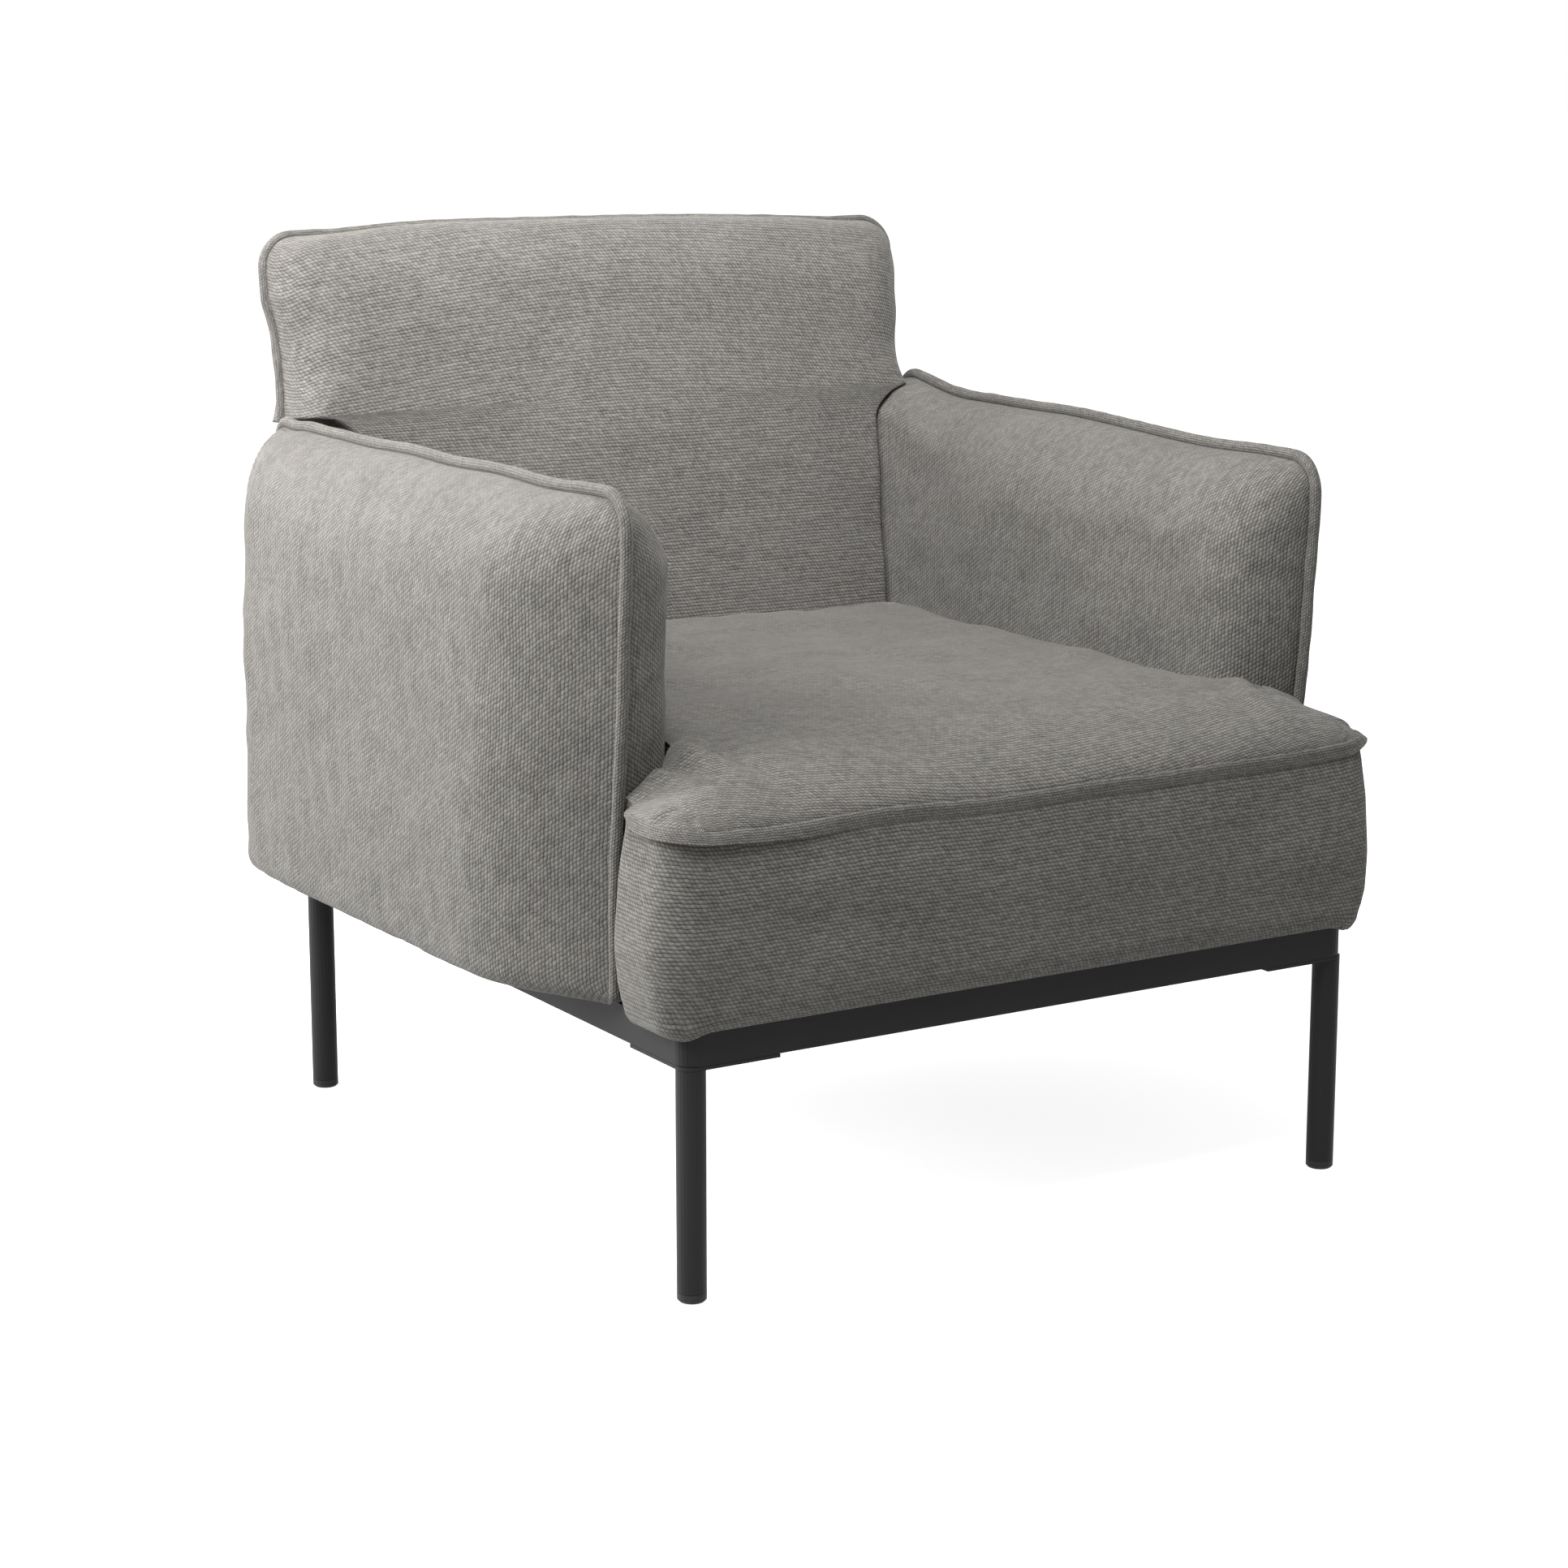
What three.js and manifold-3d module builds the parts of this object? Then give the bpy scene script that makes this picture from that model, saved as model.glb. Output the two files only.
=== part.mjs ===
// Upholstered armchair on a black steel base. Millimetres, +Z up, the chair faces -Y.
// Left and right are as seen from the front. The origin is on the floor under the middle of the chair.
import * as THREE from 'three';
import { mergeVertices } from 'three/addons/utils/BufferGeometryUtils.js';
import Module from 'manifold-3d';

const wasm = await Module();
wasm.setup();

// ---- Clearances ----
const GAP = 0.3; // between pieces that touch
const SOFT_GAP = 0.5; // between two upholstered pieces that press together
const HOLE_PLAY = 0.4; // around a screw or bolt, on the radius

// ---- Steel base ----
const LEG_SPACING_X = 670; // leg axis to leg axis
const LEG_SPACING_Y = 720;
const LEG_DIAMETER = 25;
const LEG_WALL = 2;
const RING_UNDERSIDE = 202;
const RAIL_SIZE = 30;
const RAIL_WALL = 2;
const RING_CORNER = 16; // outer corner radius of the ring, seen from above
const PLATE_THICKNESS = 3;
const PLATE_REACH = 78; // leg axis to the end of each plate arm
const PLATE_WIDTH = 28;
const PLATE_SCREW_REACH = 56; // leg axis to screw axis
const GLIDE_HEAD = 8;
const GLIDE_SPIGOT = 14;
const SCREW_RADIUS = 3;
const SCREW_HEAD_RADIUS = 5.5;
const SCREW_HEAD_HEIGHT = 3;
const SCREW_LENGTH = 12;
const BOLT_RADIUS = 4;
const BOLT_HEAD_RADIUS = 8;
const BOLT_HEAD_HEIGHT = 5;
const BOLT_INTO_TIMBER = 16;
const ARM_BOLT_INSET = 80; // end of a leg plate to the bolt

// ---- Upholstery common to all cushions ----
const COVER = 12; // fabric with its quilted wadding
const FABRIC = 2; // fabric alone, where it is pulled under a cushion
const BOARD = 35; // width of the seat's frame timber

// ---- Arms ----
const ARM_SEAM_OVERHANG = 10; // seam plane outside the ring's outer face
const ARM_SETBACK = 81; // ring's front face to the arm's front seam
const ARM_REAR_INSET = 2.5; // ring's rear face to the arm's rear seam
const ARM_TOP = 655;
const ARM_INNER = 71; // seam plane to the inner panel, before its crown
const ARM_OUTER = 65;
const ARM_CROWN = 5;
const ARM_ROUND = 70; // how far in from the seam a panel keeps curving
const ARM_CORNER = 34;
const ARM_PIPING_RADIUS = 4.5;
const ARM_PANEL_THICKNESS = 18;
const ARM_BASE_THICKNESS = 22;
const ARM_BASE_INNER = 38; // seam plane to the base board's inner edge
const ARM_BASE_OUTER = 20;
const ARM_BASE_END = 70; // seam to the end of the base board
const ARM_PANEL_EDGE = 52; // seam to the edge of the upright panel
const ARM_COVER_END = 40; // seam to the opening under the cover
const ARM_COVER_LIP = 6; // how far the cover is turned in under the base board

// ---- Seat ----
const SEAT_SIDE_OVERHANG = 18; // outside the ring's side face
const SEAT_FRONT_OVERHANG = 10.5;
const SEAT_FLANGE_Z = 399;
const SEAT_CROWN = 50; // rise from the flange to the middle
const SEAT_CROWN_RUN = 150; // from the flange inwards
const SEAT_BULGE = 3;
const SEAT_CORNER = 26;
const SEAT_FLANGE_REACH = 5;
const SEAT_FLANGE_THICKNESS = 3;
const SEAT_UNDER_ROUND = 9;
const SEAT_TIMBER = 46;
const WEBBING_THICKNESS = 2.5;
const WEBBING_WIDTH = 70;
const DUST_COVER = 1.5;

// ---- Back ----
const BACK_TILT = THREE.MathUtils.degToRad(7.5);
const BACK_SEAM_INSET = 48; // ring's rear face to the back's seam plane, at the ring's top
const BACK_HEIGHT = 600; // along the tilted seam plane
const BACK_SIDE_OVERHANG = 3.5; // outside the ring's side face
const BACK_FRONT = 53;
const BACK_REAR = 45;
const BACK_CROWN = 5;
const BACK_ROUND = 60;
const BACK_CORNER = 34;
const BACK_SIDE_PLAY = 1; // the arm's crown where the back meets it
const BACK_BOW = 8; // the top edge rises this much in the middle
const BACK_PIPING_RADIUS = 4;
const BACK_TIMBER_HALF = 14;
const BACK_POST_WIDTH = 38;
const BACK_RAIL_LOW = 90;
const BACK_RAIL_TOP = 40;
const BACK_TOP_RAIL_Z = 500;
const BRACKET_THICKNESS = 5;
const BRACKET_WIDTH = 40;
const BRACKET_HEIGHT = 85;

// ---- Places that follow from the sizes ----
const legRadius = LEG_DIAMETER / 2;
const ringX = LEG_SPACING_X / 2 + legRadius;
const ringY = LEG_SPACING_Y / 2 + legRadius;
const ringTop = RING_UNDERSIDE + RAIL_SIZE;
const plateTop = RING_UNDERSIDE - GAP;
const plateBottom = plateTop - PLATE_THICKNESS;
const softBottom = ringTop + GAP;
const timberBottom = softBottom + FABRIC + GAP;
const armSeam = ringX + ARM_SEAM_OVERHANG;
const armFront = -ringY + ARM_SETBACK;
const armRear = ringY - ARM_REAR_INSET;
const armInnerFace = armSeam - ARM_INNER - ARM_CROWN;
const seatX = ringX + SEAT_SIDE_OVERHANG;
const seatFront = -ringY - SEAT_FRONT_OVERHANG;
const seatTimberTop = timberBottom + SEAT_TIMBER;
const backBaseY = ringY - BACK_SEAM_INSET;
const backHalf = ringX + BACK_SIDE_OVERHANG;
const lowerHalf = armInnerFace - SOFT_GAP - COVER - GAP; // half width left between the arms for the frame
const FAR = 1500; // larger than the chair, for cutting tools
const OUTSIDE_STEPS = 6; // points round each corner of a cover
const INSIDE_STEPS = 4; // and of what lies inside it

// ---- Materials ----
const fabric = () => new THREE.MeshStandardMaterial({ color: 0x7d7b77, roughness: 0.95, metalness: 0 });
const steel = () => new THREE.MeshStandardMaterial({ color: 0x1a1a1b, roughness: 0.45, metalness: 0.4 });
const zinc = () => new THREE.MeshStandardMaterial({ color: 0x8c8f92, roughness: 0.4, metalness: 0.9 });
const plastic = () => new THREE.MeshStandardMaterial({ color: 0x1c1c1c, roughness: 0.6, metalness: 0 });
const timber = () => new THREE.MeshStandardMaterial({ color: 0xc09a66, roughness: 0.8, metalness: 0 });
const foam = () => new THREE.MeshStandardMaterial({ color: 0xd9d2bd, roughness: 1, metalness: 0 });
const webbing = () => new THREE.MeshStandardMaterial({ color: 0x2b2b2b, roughness: 0.9, metalness: 0 });

// ---- Geometry helpers ----
const chair = new THREE.Group();

function addPart(name, geometry, material) {
  const mesh = new THREE.Mesh(geometry, material);
  mesh.name = name;
  chair.add(mesh);
}

function solid(geometry) {
  const bare = geometry.clone();
  bare.deleteAttribute('normal');
  bare.deleteAttribute('uv');
  const merged = mergeVertices(bare);
  const vertProperties = new Float32Array(merged.attributes.position.array);
  const triVerts = new Uint32Array(merged.index.array);
  return new wasm.Manifold(new wasm.Mesh({ numProp: 3, vertProperties, triVerts }));
}

function geometryOf(manifold) {
  const mesh = manifold.getMesh();
  const geometry = new THREE.BufferGeometry();
  geometry.setAttribute('position', new THREE.BufferAttribute(mesh.vertProperties, 3));
  geometry.setIndex(new THREE.BufferAttribute(mesh.triVerts, 1));
  geometry.computeVertexNormals();
  return geometry;
}

function mirrorX(geometry) {
  const copy = geometry.index ? geometry.clone() : mergeVertices(geometry);
  copy.scale(-1, 1, 1);
  flip(copy);
  return copy;
}

function flip(geometry) {
  const index = geometry.index;
  for (let i = 0; i < index.count; i += 3) {
    const second = index.getX(i + 1);
    index.setX(i + 1, index.getX(i + 2));
    index.setX(i + 2, second);
  }
}

function boxBetween(low, high) {
  const geometry = new THREE.BoxGeometry(high[0] - low[0], high[1] - low[1], high[2] - low[2]);
  return geometry.translate((low[0] + high[0]) / 2, (low[1] + high[1]) / 2, (low[2] + high[2]) / 2);
}

// An upright round rod between two heights.
function rod(radius, low, high, x, y, sides = 12) {
  const geometry = new THREE.CylinderGeometry(radius, radius, high - low, sides);
  return geometry.rotateX(Math.PI / 2).translate(x, y, (low + high) / 2);
}

function signedVolume(points, triangles) {
  let sum = 0;
  for (const [a, b, c] of triangles) {
    sum += points[a].dot(points[b].clone().cross(points[c]));
  }
  return sum / 6;
}

// A closed skin over a row of rings, closed at each end by a single point.
function loft(rings, startPole, endPole) {
  const sides = rings[0].length;
  const points = [...rings.flat(), startPole, endPole];
  const last = (rings.length - 1) * sides;
  const triangles = [];
  for (let side = 0; side < sides; side += 1) {
    const next = (side + 1) % sides;
    triangles.push([points.length - 2, next, side]);
    triangles.push([points.length - 1, last + side, last + next]);
    for (let ring = 0; ring < last; ring += sides) {
      triangles.push([ring + side, ring + next, ring + sides + side]);
      triangles.push([ring + next, ring + sides + next, ring + sides + side]);
    }
  }
  const geometry = new THREE.BufferGeometry().setFromPoints(points);
  geometry.setIndex(triangles.flat());
  if (signedVolume(points, triangles) < 0) {
    flip(geometry);
  }
  geometry.computeVertexNormals();
  return geometry;
}

// A rounded rectangle as [u, v] pairs, with a point in the middle of each edge raised by the bow at the top.
function roundedOutline(edges, radius, perCorner, bow = 0) {
  const corners = [
    [edges.right - radius, edges.top - radius, 0],
    [edges.left + radius, edges.top - radius, 1],
    [edges.left + radius, edges.bottom + radius, 2],
    [edges.right - radius, edges.bottom + radius, 3],
  ];
  const middles = [
    [(edges.left + edges.right) / 2, edges.top + bow],
    [edges.left, (edges.top + edges.bottom) / 2],
    [(edges.left + edges.right) / 2, edges.bottom],
    [edges.right, (edges.top + edges.bottom) / 2],
  ];
  const outline = [];
  for (const [u, v, quarter] of corners) {
    for (let step = 0; step < perCorner; step += 1) {
      const angle = (quarter + step / (perCorner - 1)) * Math.PI / 2;
      outline.push([u + radius * Math.cos(angle), v + radius * Math.sin(angle)]);
    }
    outline.push(middles[quarter]);
  }
  return outline;
}

// Two crowned panels that meet in a seam round the edge. The seam lies in the (u, v) plane, and place()
// turns (u, v, depth) into a point, with positive depth towards the first panel.
function pillow(edges, rounds, radius, depths, crown, bow, perCorner, place) {
  const panel = (depth) => {
    const rings = [];
    for (const angle of [20, 42, 66, 90].map(THREE.MathUtils.degToRad)) {
      const inset = 1 - Math.cos(angle);
      const inner = {
        left: edges.left + inset * rounds.side,
        right: edges.right - inset * rounds.side,
        bottom: edges.bottom + inset * rounds.bottom,
        top: edges.top - inset * rounds.top,
      };
      const outline = roundedOutline(inner, radius, perCorner, bow);
      rings.push(outline.map(([u, v]) => place(u, v, depth * Math.sin(angle))));
    }
    return rings;
  };
  const middleU = (edges.left + edges.right) / 2;
  const middleV = (edges.bottom + edges.top) / 2;
  const seam = roundedOutline(edges, radius, perCorner, bow).map(([u, v]) => place(u, v, 0));
  const rings = [...panel(depths[0]).reverse(), seam, ...panel(-depths[1])];
  const firstPole = place(middleU, middleV, depths[0] + crown);
  const secondPole = place(middleU, middleV, -depths[1] - crown);
  return loft(rings, firstPole, secondPole);
}

// A round cord along points that lie in one plane; normal is that plane's normal.
function cordAlong(points, normal, radius, sides = 8) {
  const rings = points.map((point, index) => {
    const before = points[Math.max(index - 1, 0)];
    const after = points[Math.min(index + 1, points.length - 1)];
    const across = after.clone().sub(before).normalize().cross(normal);
    const ring = [];
    for (let side = 0; side < sides; side += 1) {
      const angle = (side / sides) * 2 * Math.PI;
      const out = normal.clone().multiplyScalar(radius * Math.cos(angle));
      ring.push(point.clone().add(out).addScaledVector(across, radius * Math.sin(angle)));
    }
    return ring;
  });
  return loft(rings, points[0], points[points.length - 1]);
}

function shapeFrom(points) {
  return new THREE.Shape(points.map(([x, y]) => new THREE.Vector2(x, y)));
}

// Extrudes an outline drawn in plan upwards.
function plate(shape, low, high) {
  const options = { depth: high - low, bevelEnabled: false, curveSegments: 5 };
  const geometry = new THREE.ExtrudeGeometry(shape, options);
  return geometry.translate(0, 0, low);
}

// ---- Steel base ----
// Each rail is half of both corners of the ring, mitred, drawn in plan along X and turned into place.
// The tube is plugged at its ends, so that the rounded corners are whole.
function railOutline(halfLength, halfAcross) {
  const play = GAP / 2;
  const middle = [halfLength - RING_CORNER, -halfAcross + RING_CORNER];
  const outer = [];
  for (const angle of [-45, -60, -75, -90].map(THREE.MathUtils.degToRad)) {
    outer.push([middle[0] + RING_CORNER * Math.cos(angle) - play, middle[1] + RING_CORNER * Math.sin(angle)]);
  }
  outer[outer.length - 1][0] = middle[0];
  const inner = [halfLength - RAIL_SIZE - play, -halfAcross + RAIL_SIZE];
  const right = [inner, ...outer];
  const left = right.map(([x, y]) => [-x, y]).reverse();
  return shapeFrom([...right, ...left]);
}

function rail(halfLength, halfAcross, turn, boltX) {
  const walls = solid(plate(railOutline(halfLength, halfAcross), RING_UNDERSIDE, ringTop));
  const hollow = halfLength - RING_CORNER;
  const low = [-hollow, -halfAcross + RAIL_WALL, RING_UNDERSIDE + RAIL_WALL];
  const high = [hollow, -halfAcross + RAIL_SIZE - RAIL_WALL, ringTop - RAIL_WALL];
  let tube = walls.subtract(solid(boxBetween(low, high)));
  const screwX = halfLength - legRadius - PLATE_SCREW_REACH;
  const middle = RING_UNDERSIDE + RAIL_SIZE / 2;
  for (const x of [-screwX, screwX]) {
    const hole = rod(SCREW_RADIUS + HOLE_PLAY, RING_UNDERSIDE - FAR, middle, x, -halfAcross + legRadius, 10);
    tube = tube.subtract(solid(hole));
  }
  for (const x of boltX) {
    const hole = rod(BOLT_RADIUS + HOLE_PLAY, 0, FAR, x, -halfAcross + RAIL_SIZE / 2, 10);
    tube = tube.subtract(solid(hole));
  }
  return geometryOf(tube).rotateZ(turn);
}

const armBoltReach = LEG_SPACING_Y / 2 - PLATE_REACH - ARM_BOLT_INSET;
const armBoltY = [-armBoltReach, armBoltReach];

function addRing() {
  addPart('front_rail', rail(ringX, ringY, 0, []), steel());
  addPart('rear_rail', rail(ringX, ringY, Math.PI, []), steel());
  addPart('right_rail', rail(ringY, ringX, Math.PI / 2, armBoltY), steel());
  addPart('left_rail', rail(ringY, ringX, -Math.PI / 2, armBoltY.map((y) => -y)), steel());
}

// An L with its outer corner round the leg, drawn for the corner at +X +Y.
function plateShape() {
  const shape = new THREE.Shape();
  shape.moveTo(-PLATE_REACH, legRadius);
  shape.lineTo(-PLATE_REACH, legRadius - PLATE_WIDTH);
  shape.lineTo(legRadius - PLATE_WIDTH, legRadius - PLATE_WIDTH);
  shape.lineTo(legRadius - PLATE_WIDTH, -PLATE_REACH);
  shape.lineTo(legRadius, -PLATE_REACH);
  shape.lineTo(legRadius, 0);
  shape.absarc(0, 0, legRadius, 0, Math.PI / 2, false);
  shape.lineTo(-PLATE_REACH, legRadius);
  for (const [x, y] of [[-PLATE_SCREW_REACH, 0], [0, -PLATE_SCREW_REACH]]) {
    const hole = new THREE.Path();
    hole.absarc(x, y, SCREW_RADIUS + HOLE_PLAY, 0, 2 * Math.PI, true);
    shape.holes.push(hole);
  }
  return shape;
}

function leg() {
  const low = GLIDE_HEAD + GAP;
  const high = plateBottom - GAP;
  const bore = legRadius - LEG_WALL;
  const profile = [[bore, low], [legRadius, low], [legRadius, high], [bore, high], [bore, low]];
  const turned = new THREE.LatheGeometry(profile.map(([r, z]) => new THREE.Vector2(r, z)), 24);
  return turned.rotateX(Math.PI / 2);
}

function glide() {
  const bore = legRadius - LEG_WALL - GAP;
  const profile = [
    [0, 0],
    [legRadius - 2, 0],
    [legRadius, 2],
    [legRadius, GLIDE_HEAD],
    [bore, GLIDE_HEAD],
    [bore, GLIDE_HEAD + GLIDE_SPIGOT],
    [0, GLIDE_HEAD + GLIDE_SPIGOT],
  ];
  const turned = new THREE.LatheGeometry(profile.map(([r, z]) => new THREE.Vector2(r, z)), 24);
  return turned.rotateX(Math.PI / 2);
}

// A screw or bolt that points up, with its domed head under the height given.
function fastener(radius, headRadius, headHeight, under, top, sides) {
  const profile = [
    [0, under - headHeight],
    [headRadius * 0.6, under - headHeight],
    [headRadius, under - headHeight * 0.4],
    [headRadius, under],
    [radius, under],
    [radius, top],
    [0, top],
  ];
  const turned = new THREE.LatheGeometry(profile.map(([r, z]) => new THREE.Vector2(r, z)), sides);
  return turned.rotateX(Math.PI / 2);
}

function addLegs() {
  const corners = [[-1, -1], [1, -1], [1, 1], [-1, 1]];
  const shape = plateShape();
  const screwUnder = plateBottom - GAP;
  const screw = () => fastener(
    SCREW_RADIUS, SCREW_HEAD_RADIUS, SCREW_HEAD_HEIGHT, screwUnder, screwUnder + SCREW_LENGTH, 10);
  corners.forEach(([sx, sy], index) => {
    const number = index + 1;
    const x = sx * LEG_SPACING_X / 2;
    const y = sy * LEG_SPACING_Y / 2;
    const turn = Math.atan2(sy, sx) - Math.PI / 4;
    addPart(`leg_${number}`, leg().translate(x, y, 0), steel());
    addPart(`glide_${number}`, glide().translate(x, y, 0), plastic());
    const legPlate = plate(shape, plateBottom, plateTop).rotateZ(turn).translate(x, y, 0);
    addPart(`leg_plate_${number}`, legPlate, steel());
    const screwX = x - sx * PLATE_SCREW_REACH;
    const screwY = y - sy * PLATE_SCREW_REACH;
    addPart(`leg_screw_${2 * number - 1}`, screw().translate(screwX, y, 0), zinc());
    addPart(`leg_screw_${2 * number}`, screw().translate(x, screwY, 0), zinc());
  });
}

// ---- Arms, made for the +X side ----
// Every form takes a skin: 0 for the cover's outside, and more for what lies inside the cover.
function armForm(skin, perCorner) {
  const edges = {
    left: armFront + skin,
    right: armRear - skin,
    bottom: softBottom - 8,
    top: ARM_TOP - skin,
  };
  const rounds = { side: ARM_ROUND - skin, bottom: 32, top: ARM_ROUND - skin };
  const depths = [ARM_OUTER - skin, ARM_INNER - skin];
  const place = (u, v, depth) => new THREE.Vector3(armSeam + depth, u, v);
  const form = pillow(edges, rounds, ARM_CORNER - skin / 2, depths, ARM_CROWN, 0, perCorner, place);
  const floor = softBottom + (skin > 0 ? FABRIC : 0);
  const below = solid(boxBetween([-FAR, -FAR, -FAR], [FAR, FAR, floor]));
  return solid(form).subtract(below);
}

// The quarter ellipse of the arm's inner panel, from the inner face out to the piping, as [x, rise] pairs.
function armShoulder(depth, clearance) {
  const reach = depth + clearance;
  const rise = ARM_ROUND + clearance;
  const stop = Math.acos((ARM_PIPING_RADIUS + clearance) / reach);
  const steps = 7;
  const points = [];
  for (let step = 0; step <= steps; step += 1) {
    const angle = (step / steps) * stop;
    points.push([armSeam - reach * Math.cos(angle), rise * Math.sin(angle)]);
  }
  return points;
}

// The arm seen from above, stretched upwards: what the seat leaves free.
function armInPlan(skin) {
  const clearance = SOFT_GAP + skin;
  const shoulder = armShoulder(ARM_INNER + ARM_CROWN, clearance);
  const bend = armFront + ARM_ROUND;
  const front = armFront - 2 * ARM_PIPING_RADIUS - GAP - clearance;
  const edge = shoulder[shoulder.length - 1][0];
  const inner = shoulder.map(([x, rise]) => [x, bend - rise]);
  const outline = [[inner[0][0], FAR], ...inner, [edge, front], [FAR, front], [FAR, FAR]];
  return solid(plate(shapeFrom(outline), -FAR, FAR));
}

// The arm seen from the front, stretched backwards: what the back leaves free.
function armInFront(skin) {
  const clearance = SOFT_GAP + skin;
  const shoulder = armShoulder(ARM_INNER + BACK_SIDE_PLAY, clearance);
  const bend = ARM_TOP - ARM_ROUND;
  const top = ARM_TOP + 2 * ARM_PIPING_RADIUS + GAP + clearance;
  const edge = shoulder[shoulder.length - 1][0];
  const inner = shoulder.map(([x, rise]) => [x, bend + rise]);
  const outline = [[inner[0][0], -FAR], ...inner, [edge, top], [FAR, top], [FAR, -FAR]];
  const geometry = plate(shapeFrom(outline), -FAR, FAR).rotateX(Math.PI / 2);
  return solid(geometry);
}

function armPiping() {
  const offset = ARM_PIPING_RADIUS + GAP;
  const edges = {
    left: armFront - offset,
    right: armRear + offset,
    bottom: softBottom,
    top: ARM_TOP + offset,
  };
  const radius = ARM_CORNER + offset;
  const points = [[edges.right, edges.bottom]];
  for (const [u, quarter] of [[edges.right - radius, 0], [edges.left + radius, 1]]) {
    for (let step = 0; step <= 5; step += 1) {
      const angle = (quarter + step / 5) * Math.PI / 2;
      points.push([u + radius * Math.cos(angle), edges.top - radius + radius * Math.sin(angle)]);
    }
  }
  points.push([edges.left, edges.bottom]);
  const path = points.map(([u, v]) => new THREE.Vector3(armSeam, u, v));
  return cordAlong(path, new THREE.Vector3(1, 0, 0), ARM_PIPING_RADIUS);
}

const armBaseTop = timberBottom + ARM_BASE_THICKNESS;
const armBoltX = ringX - RAIL_SIZE / 2;

function armCover() {
  const low = [armSeam - ARM_BASE_INNER + ARM_COVER_LIP, armFront + ARM_COVER_END, -FAR];
  const high = [armSeam + ARM_BASE_OUTER, armRear - ARM_COVER_END, softBottom + FABRIC + 1];
  const opening = solid(boxBetween(low, high));
  return armForm(0, OUTSIDE_STEPS).subtract(armForm(COVER, INSIDE_STEPS)).subtract(opening);
}

function armBase() {
  const low = [armSeam - ARM_BASE_INNER, armFront + ARM_BASE_END, timberBottom];
  const high = [armSeam + ARM_BASE_OUTER, armRear - ARM_BASE_END, armBaseTop];
  let board = solid(boxBetween(low, high));
  for (const y of armBoltY) {
    const hole = rod(BOLT_RADIUS + HOLE_PLAY, 0, timberBottom + BOLT_INTO_TIMBER + 1, armBoltX, y, 10);
    board = board.subtract(solid(hole));
  }
  return board;
}

function armPanel() {
  const half = ARM_PANEL_THICKNESS / 2;
  const low = [armSeam - half, armFront + ARM_PANEL_EDGE, armBaseTop + GAP];
  const high = [armSeam + half, armRear - ARM_PANEL_EDGE, ARM_TOP - ARM_PANEL_EDGE];
  return boxBetween(low, high);
}

function armFoam(towards) {
  const start = ARM_PANEL_THICKNESS / 2 + GAP;
  const edge = armSeam + towards * start;
  const low = [Math.min(edge, towards * FAR), -FAR, armBaseTop + GAP];
  const high = [Math.max(edge, towards * FAR), FAR, FAR];
  return armForm(COVER + GAP, INSIDE_STEPS).intersect(solid(boxBetween(low, high)));
}

function armBolt(y) {
  const under = RING_UNDERSIDE - GAP;
  const top = timberBottom + BOLT_INTO_TIMBER;
  return fastener(BOLT_RADIUS, BOLT_HEAD_RADIUS, BOLT_HEAD_HEIGHT, under, top, 10).translate(armBoltX, y, 0);
}

function addArms() {
  const pieces = [
    ['arm_cover', geometryOf(armCover()), fabric],
    ['arm_piping', armPiping(), fabric],
    ['arm_base', geometryOf(armBase()), timber],
    ['arm_panel', armPanel(), timber],
    ['arm_foam_inner', geometryOf(armFoam(-1)), foam],
    ['arm_foam_outer', geometryOf(armFoam(1)), foam],
    ['arm_bolt_1', armBolt(armBoltY[0]), zinc],
    ['arm_bolt_2', armBolt(armBoltY[1]), zinc],
  ];
  for (const [name, geometry, material] of pieces) {
    addPart(`right_${name}`, geometry, material());
    addPart(`left_${name}`, mirrorX(geometry), material());
  }
}

// ---- Back ----
// Its own frame: x across, depth forwards of the seam plane, height along the tilted seam plane.
function onBack(x, height, forward) {
  const y = backBaseY + height * Math.sin(BACK_TILT) - forward * Math.cos(BACK_TILT);
  const z = softBottom + height * Math.cos(BACK_TILT) + forward * Math.sin(BACK_TILT);
  return new THREE.Vector3(x, y, z);
}

function tiltBack(geometry) {
  return geometry.rotateX(-BACK_TILT).translate(0, backBaseY, softBottom);
}

// Grown by a clearance, or shrunk by a skin when negative.
function backPillow(grow, perCorner) {
  const edges = {
    left: -backHalf - grow,
    right: backHalf + grow,
    bottom: -20,
    top: BACK_HEIGHT + grow,
  };
  const rounds = { side: BACK_ROUND + grow, bottom: 32, top: BACK_ROUND + grow };
  const depths = [BACK_FRONT + grow, BACK_REAR + grow];
  const radius = BACK_CORNER + grow / 2;
  return solid(pillow(edges, rounds, radius, depths, BACK_CROWN, BACK_BOW, perCorner, onBack));
}

function backForm(skin, perCorner) {
  const floor = softBottom + (skin > 0 ? FABRIC : 0);
  const below = solid(boxBetween([-FAR, -FAR, -FAR], [FAR, FAR, floor]));
  const notch = geometryOf(armInFront(skin));
  return backPillow(-skin, perCorner).subtract(below).subtract(solid(notch)).subtract(solid(mirrorX(notch)));
}

function backCover() {
  const low = [-lowerHalf + 25, backBaseY - 22, -FAR];
  const high = [lowerHalf - 25, backBaseY + 30, softBottom + FABRIC + 1];
  const opening = solid(boxBetween(low, high));
  return backForm(0, OUTSIDE_STEPS).subtract(backForm(COVER, INSIDE_STEPS)).subtract(opening);
}

function backFoam(towards, lowest) {
  const start = BACK_TIMBER_HALF + GAP;
  const edge = towards * start;
  const low = [-FAR, Math.min(edge, towards * FAR), lowest];
  const high = [FAR, Math.max(edge, towards * FAR), FAR];
  return backForm(COVER + GAP, INSIDE_STEPS).intersect(solid(tiltBack(boxBetween(low, high))));
}

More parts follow.
